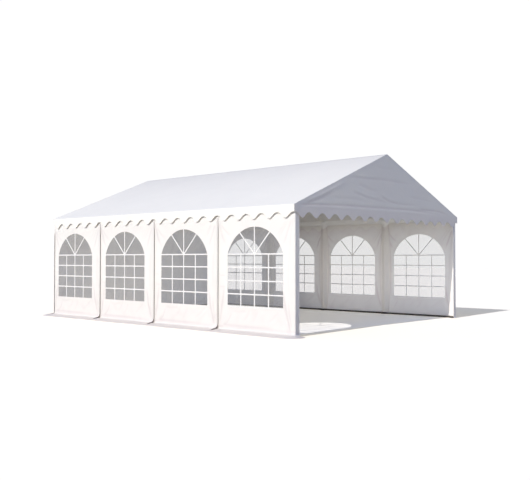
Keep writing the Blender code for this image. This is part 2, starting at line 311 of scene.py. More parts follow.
@dataclass(frozen=True)
class CoatedFabric:
    """White polyethylene tarpaulin: tape yarn woven and coated on both faces.

    The coat gives a satin white, the tapes a fine grid, and some light comes through. Hems and window joints
    are hot-air welds, which show as a line beside the edge.

    Attributes:
        name: the material's name.
        white: colour of the clean cloth.
        crease: colour halfway to the darkest, the painted shade along its folds and the other painted shade of the
            sheets.
        gap: darkest colour, the painted shade in the gaps at seams and turned-in edges.
        light_through: colour of the light that comes through.
        roughness: roughness of the coat.
        glow: share of each face that passes light on.
        weave: distance from tape to tape. Real tapes are 2 mm wide; they are drawn twice as wide to show.
        weld: width of the welded hem.
    """

    name: str = "coated_tarpaulin_white_woven"
    white: str = "FBFAF7"
    crease: str = "EAE4E3"
    gap: str = "7C746E"
    light_through: str = "FFFAF4"
    roughness: float = 0.48
    glow: float = 0.4
    weave: float = 0.004
    weld: float = 0.03

    def build(self) -> bpy.types.Material:
        """Makes the material.

        Returns:
            The material.
        """
        material, tree, output = new_material(self.name)
        places = add_node(tree, "ShaderNodeTexCoord")
        here, sheet = places.outputs["Object"], places.outputs["UV"]
        folds = add_node(tree, "ShaderNodeAttribute", attribute_name="crease").outputs["Fac"]
        edge = add_node(tree, "ShaderNodeAttribute", attribute_name="edge").outputs["Fac"]
        cloud = add_node(tree, "ShaderNodeTexNoise", {"Vector": here, "Scale": 1.6, "Detail": 4.0})
        dust = add_node(
            tree,
            "ShaderNodeMapRange",
            {"Value": cloud.outputs["Fac"], "From Min": 0.35, "From Max": 0.75, "To Max": 0.05},
        )
        # The crease attribute carries painted shade, which darkens the white towards the crease colour and then the gap
        # colour; the noise adds random dust.
        marks = add_node(tree, "ShaderNodeMath", {0: folds, 1: dust.outputs["Result"]}, operation="ADD", use_clamp=True)
        ramp = add_node(tree, "ShaderNodeValToRGB", {"Fac": marks.outputs[0]})
        stops = ramp.color_ramp.elements
        stops.new(0.5)
        for stop, code in zip(stops, (self.white, self.crease, self.gap)):
            stop.color = srgb(code)
        tint = ramp.outputs["Color"]

        weave_scale = 2 * math.pi / 20 / self.weave
        tapes = [
            add_node(
                tree, "ShaderNodeTexWave", {"Vector": sheet, "Scale": weave_scale}, bands_direction=axis
            ).outputs["Fac"]
            for axis in ("X", "Y")
        ]
        cloth = add_node(tree, "ShaderNodeMath", {0: tapes[0], 1: tapes[1]}, operation="MULTIPLY")
        crinkle = add_node(tree, "ShaderNodeTexNoise", {"Vector": here, "Scale": 9.0, "Detail": 3.0})
        off_weld = add_node(tree, "ShaderNodeMath", {0: edge, 1: self.weld}, operation="SUBTRACT")
        from_weld = add_node(tree, "ShaderNodeMath", {0: off_weld.outputs[0]}, operation="ABSOLUTE")
        weld = add_node(
            tree,
            "ShaderNodeMapRange",
            {"Value": from_weld.outputs[0], "From Max": 0.004, "To Min": 1.0, "To Max": 0.0},
            interpolation_type="SMOOTHSTEP",
        )
        rough = add_node(
            tree,
            "ShaderNodeMapRange",
            {
                "Value": cloud.outputs["Fac"],
                "To Min": self.roughness - 0.06,
                "To Max": self.roughness + 0.08,
            },
        )
        soft = add_node(tree, "ShaderNodeBump", {"Height": crinkle.outputs["Fac"], "Strength": 0.2, "Distance": 0.004})
        fine = add_node(
            tree,
            "ShaderNodeBump",
            {"Height": cloth.outputs[0], "Strength": 0.12, "Distance": 0.0004, "Normal": soft.outputs["Normal"]},
        )
        seamed = add_node(
            tree,
            "ShaderNodeBump",
            {"Height": weld.outputs["Result"], "Strength": 0.5, "Distance": -0.001, "Normal": fine.outputs["Normal"]},
        )
        normal = seamed.outputs["Normal"]
        skin = add_node(
            tree,
            "ShaderNodeBsdfPrincipled",
            {"Base Color": tint, "Roughness": rough.outputs["Result"], "Normal": normal},
        )
        warm = add_node(tree, "ShaderNodeMix", {"Factor": 1.0, "A": tint}, data_type="RGBA", blend_type="MULTIPLY")
        warm.inputs["B"].default_value = srgb(self.light_through)
        through = add_node(tree, "ShaderNodeBsdfTranslucent", {"Color": warm.outputs["Result"], "Normal": normal})
        both = add_node(
            tree, "ShaderNodeMixShader", {"Fac": self.glow, 1: skin.outputs[0], 2: through.outputs[0]}
        )
        tree.links.new(both.outputs[0], output.inputs["Surface"])
        return material


@dataclass(frozen=True)
class ClearFilm:
    """Clear calendered PVC film of a window: almost clear, with a faint haze and thin bright crinkles.

    Attributes:
        name: the material's name.
        clear: colour of each face's clear part.
        haze: colour of the haze.
        roughness: roughness of the haze.
        haze_share: share of the haze on a flat face.
        crinkle_share: how much more haze there is along a crinkle.
        crinkle: length and width in metres of the streaks that the crinkles follow.
    """

    name: str = "clear_pvc_film_calendered"
    clear: str = "FBFBFB"
    haze: str = "E8E8E8"
    roughness: float = 0.3
    haze_share: float = 0.088
    crinkle_share: float = 0.05
    crinkle: tuple[float, float] = (0.75, 0.13)

    def build(self) -> bpy.types.Material:
        """Makes the material: clear, mixed with haze, more of it along the contour lines of a slanted noise.

        Returns:
            The material.
        """
        material, tree, output = new_material(self.name)
        here = add_node(tree, "ShaderNodeTexCoord").outputs["Object"]
        slant = add_node(
            tree,
            "ShaderNodeMapping",
            {"Vector": here, "Rotation": (-0.85, 0.0, 0.0), "Scale": (1.0, *self.crinkle)},
            vector_type="TEXTURE",
        ).outputs["Vector"]
        streaks = add_node(tree, "ShaderNodeTexNoise", {"Vector": slant, "Scale": 1.0, "Detail": 1.0})
        off_line = add_node(tree, "ShaderNodeMath", {0: streaks.outputs["Fac"], 1: 0.5}, operation="SUBTRACT")
        off_line = add_node(tree, "ShaderNodeMath", {0: off_line.outputs[0]}, operation="ABSOLUTE")
        line = add_node(
            tree,
            "ShaderNodeMapRange",
            {"Value": off_line.outputs[0], "From Max": 0.03, "To Min": 1.0, "To Max": 0.0},
            interpolation_type="SMOOTHSTEP",
        )
        patches = add_node(tree, "ShaderNodeTexNoise", {"Vector": here, "Scale": 2.3, "Detail": 1.0})
        where = add_node(tree, "ShaderNodeMapRange", {"Value": patches.outputs["Fac"], "From Min": 0.42, "From Max": 0.62})
        marks = add_node(
            tree, "ShaderNodeMath", {0: line.outputs["Result"], 1: where.outputs["Result"]}, operation="MULTIPLY"
        )
        share = add_node(
            tree,
            "ShaderNodeMath",
            {0: marks.outputs[0], 1: self.crinkle_share, 2: self.haze_share},
            operation="MULTIPLY_ADD",
        )
        pane = add_node(tree, "ShaderNodeBsdfTransparent", {"Color": srgb(self.clear)})
        bump = add_node(tree, "ShaderNodeBump", {"Height": marks.outputs[0], "Strength": 0.3, "Distance": 0.003})
        skin = add_node(
            tree,
            "ShaderNodeBsdfPrincipled",
            {"Base Color": srgb(self.haze), "Roughness": self.roughness, "Normal": bump.outputs["Normal"]},
        )
        both = add_node(
            tree, "ShaderNodeMixShader", {"Fac": share.outputs[0], 1: pane.outputs[0], 2: skin.outputs[0]}
        )
        tree.links.new(both.outputs[0], output.inputs["Surface"])
        return material


@dataclass(frozen=True)
class GlazingTape:
    """White PVC tape that is welded on the film as a glazing bar: smooth, with faint weld dots."""

    name: str = "white_pvc_tape_welded"
    white: str = "FBFAF7"
    worn: str = "F4F1ED"
    roughness: float = 0.4
    glow: float = 0.3

    def build(self) -> bpy.types.Material:
        """Makes the material.

        Returns:
            The material.
        """
        material, tree, output = new_material(self.name)
        here = add_node(tree, "ShaderNodeTexCoord").outputs["Object"]
        cloud = add_node(tree, "ShaderNodeTexNoise", {"Vector": here, "Scale": 7.0, "Detail": 3.0})
        dots = add_node(tree, "ShaderNodeTexVoronoi", {"Vector": here, "Scale": 240.0})
        colour = add_node(tree, "ShaderNodeMix", {"Factor": cloud.outputs["Fac"]}, data_type="RGBA")
        colour.inputs["A"].default_value = srgb(self.white)
        colour.inputs["B"].default_value = srgb(self.worn)
        bump = add_node(
            tree, "ShaderNodeBump", {"Height": dots.outputs["Distance"], "Strength": 0.15, "Distance": 0.0004}
        )
        skin = add_node(
            tree,
            "ShaderNodeBsdfPrincipled",
            {"Base Color": colour.outputs["Result"], "Roughness": self.roughness, "Normal": bump.outputs[0]},
        )
        through = add_node(tree, "ShaderNodeBsdfTranslucent", {"Color": colour.outputs["Result"]})
        both = add_node(
            tree, "ShaderNodeMixShader", {"Fac": self.glow, 1: skin.outputs[0], 2: through.outputs[0]}
        )
        tree.links.new(both.outputs[0], output.inputs["Surface"])
        return material


@dataclass(frozen=True)
class GalvanisedSteel:
    """Steel tube, hot-dip galvanised: a dull silver with flakes of zinc, 8 to 15 mm across."""

    name: str = "galvanised_steel_tube"
    light: str = "C9CCCF"
    dark: str = "9EA2A6"
    roughness: float = 0.42
    flake: float = 0.012

    def build(self) -> bpy.types.Material:
        """Makes the material.

        Returns:
            The material.
        """
        material, tree, output = new_material(self.name)
        here = add_node(tree, "ShaderNodeTexCoord").outputs["Object"]
        flakes = add_node(tree, "ShaderNodeTexVoronoi", {"Vector": here, "Scale": 1 / self.flake})
        cloud = add_node(tree, "ShaderNodeTexNoise", {"Vector": here, "Scale": 11.0, "Detail": 5.0})
        mixed = add_node(
            tree, "ShaderNodeMath", {0: flakes.outputs["Color"], 1: cloud.outputs["Fac"]}, operation="MULTIPLY"
        )
        colour = add_node(tree, "ShaderNodeMix", {"Factor": mixed.outputs[0]}, data_type="RGBA")
        colour.inputs["A"].default_value = srgb(self.light)
        colour.inputs["B"].default_value = srgb(self.dark)
        rough = add_node(
            tree,
            "ShaderNodeMapRange",
            {
                "Value": flakes.outputs["Color"],
                "To Min": self.roughness - 0.08,
                "To Max": self.roughness + 0.1,
            },
        )
        bump = add_node(
            tree, "ShaderNodeBump", {"Height": cloud.outputs["Fac"], "Strength": 0.1, "Distance": 0.001}
        )
        skin = add_node(
            tree,
            "ShaderNodeBsdfPrincipled",
            {
                "Base Color": colour.outputs["Result"],
                "Metallic": 1.0,
                "Roughness": rough.outputs["Result"],
                "Normal": bump.outputs[0],
            },
        )
        tree.links.new(skin.outputs[0], output.inputs["Surface"])
        return material


@dataclass(frozen=True)
class RailPaint:
    """Powder-coated steel of the ground rails: a dark brown grey, partly the paint's own colour and partly painted
    shade along the foot of the walls, with a fine orange-peel skin and some dust.
    """

    name: str = "powder_coated_steel_dark"
    paint: str = "3A3531"
    dust: str = "6E665C"
    roughness: float = 0.5

    def build(self) -> bpy.types.Material:
        """Makes the material.

        Returns:
            The material.
        """
        material, tree, output = new_material(self.name)
        here = add_node(tree, "ShaderNodeTexCoord").outputs["Object"]
        cloud = add_node(tree, "ShaderNodeTexNoise", {"Vector": here, "Scale": 14.0, "Detail": 6.0})
        share = add_node(
            tree,
            "ShaderNodeMapRange",
            {"Value": cloud.outputs["Fac"], "From Min": 0.45, "From Max": 0.8, "To Max": 0.6},
        )
        colour = add_node(tree, "ShaderNodeMix", {"Factor": share.outputs[0]}, data_type="RGBA")
        colour.inputs["A"].default_value = srgb(self.paint)
        colour.inputs["B"].default_value = srgb(self.dust)
        peel = add_node(tree, "ShaderNodeTexNoise", {"Vector": here, "Scale": 420.0, "Detail": 1.0})
        bump = add_node(
            tree, "ShaderNodeBump", {"Height": peel.outputs["Fac"], "Strength": 0.2, "Distance": 0.0005}
        )
        skin = add_node(
            tree,
            "ShaderNodeBsdfPrincipled",
            {"Base Color": colour.outputs["Result"], "Roughness": self.roughness, "Normal": bump.outputs[0]},
        )
        tree.links.new(skin.outputs[0], output.inputs["Surface"])
        return material


def put_mesh(
    name: str,
    points: np.ndarray,
    faces: list | np.ndarray,
    material: bpy.types.Material,
    sharp: float = 50.0,
) -> bpy.types.Object:
    """Puts a mesh in the scene as an object at the origin, smooth except at sharp angles.

    Args:
        name: the piece's name.
        points: its vertices, one row each.
        faces: its faces, as rows of vertex numbers.
        material: its material.
        sharp: angle in degrees from which an edge stays sharp.

    Returns:
        The object.
    """
    mesh = bpy.data.meshes.new(name)
    rows = faces.tolist() if isinstance(faces, np.ndarray) else faces
    mesh.from_pydata(points.tolist(), [], rows)
    mesh.polygons.foreach_set("use_smooth", np.ones(len(rows), bool))
    mesh.set_sharp_from_angle(angle=math.radians(sharp))
    mesh.materials.append(material)
    mesh.update()
    piece = bpy.data.objects.new(name, mesh)
    bpy.context.scene.collection.objects.link(piece)
    return piece


@dataclass
class ClothGrid:
    """A sheet of cloth as a grid of points, which becomes a closed mesh of the cloth's thickness.

    Attributes:
        name: the piece's name.
        points: rows by columns by 3, the middle of the cloth.
        outward: rows by columns by 3, roughly the way its outer face looks.
        flat: rows by columns by 2, the points' places on the flat cloth in metres.
        crease: rows by columns, the painted shade of the outer face at each point, in its folds and elsewhere.
        edge: rows by columns, the distance to the nearest edge of the cloth.
        keep: one flag for each cell, false where the cloth is cut out.
        thickness: thickness of the cloth.
        inside: the same as crease for the inner face, if it differs.
    """

    name: str
    points: np.ndarray
    outward: np.ndarray
    flat: np.ndarray
    crease: np.ndarray
    edge: np.ndarray
    keep: np.ndarray | None = None
    thickness: float = CLOTH
    inside: np.ndarray | None = None

    def quads(self) -> np.ndarray:
        """The cells that are kept, as rows of four point numbers that turn about the outward side."""
        rows, cols = self.points.shape[:2]
        index = np.arange(rows * cols).reshape(rows, cols)
        cells = np.stack([index[:-1, :-1], index[:-1, 1:], index[1:, 1:], index[1:, :-1]], axis=-1)
        quads = cells[self.keep] if self.keep is not None else cells.reshape(-1, 4)
        flat_points = self.points.reshape(-1, 3)
        across = flat_points[quads[:, 2]] - flat_points[quads[:, 0]]
        up = flat_points[quads[:, 3]] - flat_points[quads[:, 1]]
        looks = (np.cross(across, up) * self.outward.reshape(-1, 3)[quads[:, 0]]).sum()
        return quads if looks > 0 else quads[:, ::-1]

    def build(self, material: bpy.types.Material) -> bpy.types.Object:
        """Makes the closed mesh: the grid moved half a thickness out and in, and a rim along every border.

        Args:
            material: the cloth's material.

        Returns:
            The object.
        """
        used, quads = np.unique(self.quads(), return_inverse=True)
        quads = quads.reshape(-1, 4)
        points = self.points.reshape(-1, 3)[used]
        corners = points[quads]
        face_normals = np.cross(corners[:, 2] - corners[:, 0], corners[:, 3] - corners[:, 1])
        normals = np.zeros_like(points)
        np.add.at(normals, quads.ravel(), np.repeat(face_normals, 4, axis=0))
        normals /= np.maximum(np.linalg.norm(normals, axis=1, keepdims=True), 1e-12)
        half = normals * self.thickness / 2
        count = len(points)
        edges = quads[:, [0, 1, 1, 2, 2, 3, 3, 0]].reshape(-1, 2)
        ahead, back = edges[:, 0] * count + edges[:, 1], edges[:, 1] * count + edges[:, 0]
        rim = edges[~np.isin(ahead, back)]
        rim_quads = np.column_stack([rim[:, 1], rim[:, 0], rim[:, 0] + count, rim[:, 1] + count])
        faces = np.concatenate([quads, quads[:, ::-1] + count, rim_quads])
        piece = put_mesh(self.name, np.concatenate([points + half, points - half]), faces, material)
        mesh = piece.data
        inside = self.crease if self.inside is None else self.inside
        for name, outer, inner in (("crease", self.crease, inside), ("edge", self.edge, self.edge)):
            layer = mesh.attributes.new(name, "FLOAT", "POINT")
            values = np.concatenate([outer.ravel()[used], inner.ravel()[used]])
            layer.data.foreach_set("value", values.astype(np.float32))
        loops = np.empty(len(mesh.loops), np.int32)
        mesh.loops.foreach_get("vertex_index", loops)
        places = np.tile(self.flat.reshape(-1, 2)[used], (2, 1))
        mesh.uv_layers.new(name="cloth").uv.foreach_set("vector", places[loops].astype(np.float32).ravel())
        return piece


@dataclass
class Wardrobe:
    """Every finish of the tent, each made once.

    Attributes:
        fabric: coated tarpaulin of the walls and gables.
        roofing: the heavier tarpaulin of the roof, which lets less light through.
        lining: the doubled tarpaulin of the eave strips, which lets hardly any light through.
        film: clear window film.
        shaded_side_film: the film's copy for the windows of the shaded side, less clear so that it paints shade on
            their panes, and with almost no crinkles.
        tape: glazing bars.
        steel: frame tubes.
        paint: ground rails.
    """

    fabric: bpy.types.Material = field(default_factory=lambda: CoatedFabric().build())
    roofing: bpy.types.Material = field(
        default_factory=lambda: CoatedFabric("roof_tarpaulin_white_woven", "F9F7F0", "E8E5DF", glow=0.25).build()
    )
    lining: bpy.types.Material = field(
        default_factory=lambda: CoatedFabric("doubled_tarpaulin_white_woven", glow=0.12).build()
    )
    film: bpy.types.Material = field(default_factory=lambda: ClearFilm().build())
    # A copy of the film for the shaded side: less clear, a painted shade on its panes, and with almost no crinkles.
    shaded_side_film: bpy.types.Material = field(
        default_factory=lambda: ClearFilm("clear_pvc_film_shaded_side", clear="F5F5F5", crinkle_share=0.005).build()
    )
    tape: bpy.types.Material = field(default_factory=lambda: GlazingTape().build())
    steel: bpy.types.Material = field(default_factory=lambda: GalvanisedSteel().build())
    paint: bpy.types.Material = field(default_factory=lambda: RailPaint().build())


def hand_over(piece: bpy.types.Object, stands_for: tuple[str, ...] = ()) -> bpy.types.Object:
    """Lets a finished piece ride on the tent's body and hides the nodes that it stands for.

    Args:
        piece: the piece.
        stands_for: the nodes that it replaces.

    Returns:
        The piece.
    """
    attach(piece, "root")
    if stands_for:
        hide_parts(*stands_for)
    triangles = sum(len(polygon.vertices) - 2 for polygon in piece.data.polygons)
    LOG.info("%s: %d triangles", piece.name, triangles)
    return piece


def foot_height(low: np.ndarray, radius: np.ndarray | float = FOOT_RADIUS) -> np.ndarray:
    """Height on the cloth at which a wall starts to bend outwards, so that its lower edge meets the ground.

    Args:
        low: height on the cloth of its lower edge, which is below 0.
        radius: radius of the bend.

    Returns:
        The heights.
    """
    fall = math.cos(FOOT_TURN)
    bend = radius * (math.sin(FOOT_TURN) - FOOT_TURN * fall)
    return (REST + bend - low * fall) / (1 - fall)


def hang_section(
    height: np.ndarray, rise: np.ndarray, low: np.ndarray, radius: np.ndarray | float = FOOT_RADIUS
) -> tuple[np.ndarray, np.ndarray, np.ndarray]:
    """Where a point of a wall stands, by its height on the flat cloth and its fold's rise.

    The cloth is upright down to its foot, bends outwards on an arc, and then slopes gently down to the
    ground. A fold rises square to the cloth.

    Args:
        height: height on the cloth, measured along it.
        rise: how far the point stands out from the cloth's own surface.
        low: height on the cloth of its lower edge.
        radius: radius of the bend.

    Returns:
        The distance outwards, the height above the ground, and the turn of the cloth from upright.
    """
    top = foot_height(low, radius)
    turn = np.clip((top - height) / radius, 0.0, FOOT_TURN)
    skirt = np.maximum(top - height - radius * FOOT_TURN, 0.0)
    outwards = radius * (1 - np.cos(turn)) + skirt * math.sin(FOOT_TURN) + rise * np.cos(turn)
    upright = np.maximum(height, top) - radius * np.sin(turn) - skirt * math.cos(FOOT_TURN)
    return outwards, upright + rise * np.sin(turn), turn


def skirt_edge(reach: np.ndarray, radius: np.ndarray | float = FOOT_RADIUS) -> np.ndarray:
    """Height on the cloth of a wall's lower edge, by how far its skirt reaches out.

    Args:
        reach: the reach from the wall.
        radius: radius of the bend at its foot.

    Returns:
        The heights, below 0.
    """
    length = (reach - radius * (1 - math.cos(FOOT_TURN))) / math.sin(FOOT_TURN)
    top = REST + radius * math.sin(FOOT_TURN) + length * math.cos(FOOT_TURN)
    return top - radius * FOOT_TURN - length


# Folds of a side wall, as distance from its front seam and height. They fan out from the seam's top towards
# the window's shoulders and from its foot towards the window's sill, as pulled cloth does.
SIDE_CREASES = (
    Crease(((1.99, 2.20), (1.90, 1.87), (1.74, 1.67)), 0.030, -0.0045, 0.20, 1.2),
    Crease(((1.95, 2.17), (1.83, 1.92), (1.69, 1.75)), 0.026, 0.003),
    Crease(((1.93, 2.12), (1.78, 1.95), (1.60, 1.83)), 0.022, -0.003, 0.18, 1.2),
    Crease(((0.08, 2.14), (0.17, 1.95), (0.29, 1.64)), 0.026, -0.004, 0.20, 1.2),
    Crease(((0.20, 2.15), (0.33, 1.98), (0.47, 1.83)), 0.024, 0.003, 0.05),
    Crease(((0.14, 2.16), (0.25, 2.00), (0.40, 1.80)), 0.018, -0.002, 0.10),
    Crease(((0.05, 2.16), (0.10, 1.85), (0.12, 1.50)), 0.020, -0.0025, 0.10),
    Crease(((1.97, 0.10), (1.91, 0.45), (1.82, 0.95)), 0.030, -0.005, 0.22, 1.2),
    Crease(((1.93, 0.07), (1.78, 0.22), (1.68, 0.46)), 0.030, 0.005),
    Crease(((1.86, 0.10), (1.72, 0.20), (1.60, 0.42)), 0.024, -0.0035, 0.15),
    Crease(((0.10, 0.07), (0.24, 0.48), (0.29, 0.88)), 0.026, -0.006, 0.34, 1.3),
    Crease(((0.14, 0.07), (0.27, 0.36), (0.36, 0.52)), 0.026, 0.004),
    Crease(((0.09, 0.10), (0.17, 0.50), (0.20, 0.75)), 0.022, 0.004),
    Crease(((0.08, 0.13), (0.14, 0.40), (0.16, 0.70)), 0.020, -0.003, 0.16),
    Crease(((0.14, 1.60), (0.17, 1.10), (0.15, 0.70)), 0.030, -0.002, 0.10),
    Crease(((1.98, 1.11), (1.78, 1.09)), 0.016, -0.0025, 0.16, 0.8),
    Crease(((1.98, 0.89), (1.78, 0.86)), 0.016, -0.0025, 0.16, 0.8),
    Crease(((1.02, 0.47), (1.09, 0.31), (1.22, 0.16)), 0.030, 0.004),
    Crease(((0.93, 0.44), (1.00, 0.28), (1.12, 0.16)), 0.035, -0.0025, 0.08),
    Crease(((1.13, 0.46), (1.20, 0.32), (1.34, 0.20)), 0.035, -0.0025, 0.10),
    Crease(((0.30, 0.42), (0.47, 0.26), (0.66, 0.13)), 0.028, 0.004),
    Crease(((0.38, 0.45), (0.56, 0.30), (0.75, 0.18)), 0.030, -0.002, 0.08),
    Crease(((1.20, 0.42), (1.45, 0.39), (1.68, 0.42)), 0.035, -0.002, 0.12),
    Crease(((1.90, 0.125), (1.45, 0.120), (0.30, 0.115)), 0.030, -0.0025, 0.24, 1.0, 0.08),
)


@dataclass
class SideWall:
    """One side wall panel: cloth with an arched window opening, a curl at its foot and a skirt on the ground.

    Attributes:
        side: the long side that it closes.
        number: its bay, from the open end.
        step: how far its front edge stands proud of its neighbour.
        overlap: how far its back edge runs on under its neighbour's.
        reach: the skirt's reach from the wall.
    """

    side: Side
    number: int
    step: float = 0.026
    overlap: float = 0.03
    reach: float = 0.34

    @property
    def front(self) -> float:
        """Y of its front seam."""
        return -HALF_LENGTH + (self.number - 1) * BAY

    @property
    def middle(self) -> float:
        """Distance of its window's middle from the front seam."""
        return WINDOW_MIDDLES[self.number - 1] - self.front

    @property
    def corner(self) -> bool:
        """Whether it turns the front corner."""
        return self.number == 1

    def columns(self) -> tuple[np.ndarray, int, int]:
        """Distances of the grid's columns from the front seam.

        The columns over the window are spaced by the arch's angle, so they follow its steep ends. Below 0
        are the turned-in edge, or for the first bay the corner and its strip.

        Returns:
            The distances, and the numbers of the columns at both jambs.
        """
        near, far = self.middle - WINDOW_HALF, self.middle + WINDOW_HALF
        if self.corner:
            arc = CORNER_RADIUS * (1 - math.pi / 2)
            strip = arc - (CORNER_STRIP - CORNER_RADIUS)
            start = [np.linspace(strip, arc, 9)[:-1], np.linspace(arc, CORNER_RADIUS, 9)]
            side = np.linspace(CORNER_RADIUS, near, 23)[1:]
        else:
            start = [np.array([-0.019, -0.010, -0.001, 0.0, 0.002])]
            side = np.linspace(0.010, near, 24)
        end = BAY - 0.015 if self.number == len(WINDOW_MIDDLES) else BAY + self.overlap
        sweep = math.asin(WINDOW_HALF / ARC_RADIUS)
        arch = self.middle + ARC_RADIUS * np.sin(np.linspace(-sweep, sweep, 53))
        left = np.concatenate([*start, side])
        right = np.linspace(far, end, 23)
        return np.concatenate([left[:-1], arch, right[1:]]), len(left) - 1, len(left) + 51

    def grid(self) -> tuple[np.ndarray, np.ndarray, np.ndarray]:
        """The flat cloth's grid.

        Rows run up the cloth: over the skirt, the curl, the foot, beside the window, and over it, where they
        close up between the arch and the upper edge.

        Returns:
            The distance along the wall, the height along the cloth, and a flag for each cell that is kept.
        """
        w, near, far = self.columns()
        radius = self.radius(w)
        low = skirt_edge(self.skirt_reach(w), radius)
        top = foot_height(low, radius)
        bend = top - radius * FOOT_TURN
        skirt = low + (bend - low) * np.linspace(0, 1, 7)[:-1, None]
        curl = bend + (top - bend) * np.linspace(0, 1, 8)[:-1, None]
        foot = top + (WINDOW_SILL - top) * np.linspace(0, 1, 23)[:, None]
        jamb = np.linspace(WINDOW_SILL, WINDOW_SPRING, 43)[1:, None] + 0 * w
        over = np.full_like(w, WINDOW_SPRING)
        over[near : far + 1] = arch_height(w[near : far + 1] - self.middle)
        jamb[-1] = over
        upper = over + (WALL_TOP - over) * np.linspace(0, 1, 37)[1:, None]
        height = np.concatenate([skirt, curl, foot, jamb, upper])
        sill_row = len(skirt) + len(curl) + len(foot) - 1
        keep = np.ones((len(height) - 1, len(w) - 1), bool)
        keep[sill_row : sill_row + len(jamb), near:far] = False
        return np.broadcast_to(w, height.shape).copy(), height, keep

    def radius(self, w: np.ndarray) -> np.ndarray:
        """Radius of the bend at the foot: the front edge of a panel hangs free, so it bends more softly there."""
        if self.corner:
            return np.full_like(w, FOOT_RADIUS)
        return FOOT_RADIUS + 0.085 * (1 - smooth_step(w, 0.0, 0.30))

    def skirt_reach(self, w: np.ndarray) -> np.ndarray:
        """Reach of the skirt along the wall: it draws in round the front corner, and its edge wavers."""
        waver = 0.004 * np.sin(5.1 * w + self.number) + 0.003 * np.sin(13.7 * w + 2 * self.number)
        reach = np.full_like(w, self.reach) + waver
        if self.corner and self.side is Side.RIGHT:
            reach = np.minimum(reach, np.interp(w, (0.02, 0.24), (0.040, 0.35)))
        elif self.corner:
            knots = (-0.1114, -0.0614, -0.0114, -0.0041, 0.0043, 0.0128, 0.02, 0.20)
            reaches = (0.13, 0.18, 0.20, 0.216, 0.263, 0.30, 0.308, 0.33)
            reach = np.where(w < 0.20, np.interp(w, knots, reaches), reach)
        return reach

    def creases(self) -> list[Crease]:
        """The folds of this panel, each a little different from its neighbours'."""
        return moved(SIDE_CREASES, 40 + self.number + 10 * self.side.value, 0.008)

    def rise(self, w: np.ndarray, height: np.ndarray) -> tuple[np.ndarray, np.ndarray, np.ndarray]:
        """How far the cloth stands out from the flat wall, and how dark its folds are on both faces.

        Folds and ripples are added up. They flatten towards the window's joint, and inward folds flatten
        towards the seams, where the legs stand. The folds carry painted shade, stronger on the inner face, and inside a
        painted shade follows the valance's outline along the upper edge. Painted shade also darkens the corner strip
        inside, the skirt, the bend above it and the turned-in edge at each seam; the outer face is drawn darker and
        pinker towards the bottom.

        Args:
            w: distance along the wall.
            height: height along the cloth.

        Returns:
            The rise in metres, and the painted shades of the outer and the inner face.
        """
        rise, shade = fold_field(self.creases(), w, height)
        rise += ripples(w, height, 7 + self.number, 0.7, 0.0012)
        away = window_distance(w - self.middle, height)
        rise *= 0.3 + 0.7 * smooth_step(away, 0.0, 0.07)
        inside = np.minimum(smooth_step(w, 0.02, 0.10), 1 - smooth_step(w, BAY - 0.09, BAY - 0.02))
        inside = np.minimum(inside, 1 - smooth_step(height, 2.22, 2.34))
        inside = np.minimum(inside, smooth_step(height, 0.02, 0.14))
        rise = np.where(rise < 0, rise * inside, rise)
        rise *= 1 - 0.8 * smooth_step(height, 2.10, 2.30)
        rise *= 1 - 0.7 * smooth_step(0.10 - height, 0.0, 0.12)
        rise *= smooth_step(w, 0.02, 0.06)
        rise += 0.012 * smooth_step(height, 1.90, 2.20) * smooth_step(w, 0.02, 0.20)
        drop = height - scallop_height(self.front + w - HALF_LENGTH)
        # Inside, the folds' painted shade is stronger, most of all towards the top, and fades out near the foot.
        inner = shade * (1.3 + 1.1 * smooth_step(height, 1.2, 1.6)) * smooth_step(height, 0.10, 0.32)
        # Painted shade inside below the upper edge, where the valance's scallops hang outside, with a painted shadow
        # line just under their outline; strongest in the back bays.
        valance_shade = (0.06, 0.10, 0.20, 0.20)[self.number - 1]
        inner += valance_shade * smooth_step(height, 1.95, 2.17) * (1 - smooth_step(drop, -0.012, 0.012))
        inner += 0.7 * valance_shade * np.exp(-(((drop + 0.02) / 0.018) ** 2))
        # Painted shade on the inside of the sunlit corner strip.
        inner += np.where((w < 0) & self.corner, 0.25, 0.0)
        cloud = np.maximum(ripples(w, height, 301 + self.number, 0.30, 1.6), 0.0)
        # The outer face is drawn darker and pinker towards the bottom, in random clouds.
        foot = smooth_step(height, 0.00, 0.10)
        shade += (0.11 + 0.04 * cloud) * (1 - smooth_step(height, 0.2, 1.2)) * foot
        # Painted shade on the skirt where it lies on the ground, and on the sunlit bend just above it.
        shade += 0.34 * (1 - smooth_step(height, -0.03, 0.02))
        shade += 0.13 * smooth_step(height, -0.03, 0.02) * (1 - smooth_step(height, 0.08, 0.13))
        inner += 0.05 * cloud
        if not self.corner:
            step = 0.004 + (self.step - 0.004) * smooth_step(height, -0.24, -0.02)
            step *= 1 - 0.5 * smooth_step(height, 2.20, 2.30)
            rise += np.where(w < 0, np.maximum(step + w, 0.0005), step * (1 - smooth_step(w, 0.004, 0.08)))
            # Painted shade on the turned-in edge at the seam: the dark gap line and its hook at the foot.
            dark = 0.8 * smooth_step(height, -0.16, -0.11)
            shade, inner = np.where(w < 0, dark, shade), np.where(w < 0, dark, inner)
        return rise, np.clip(shade, 0.0, 1.0), np.clip(inner, 0.0, 1.0)

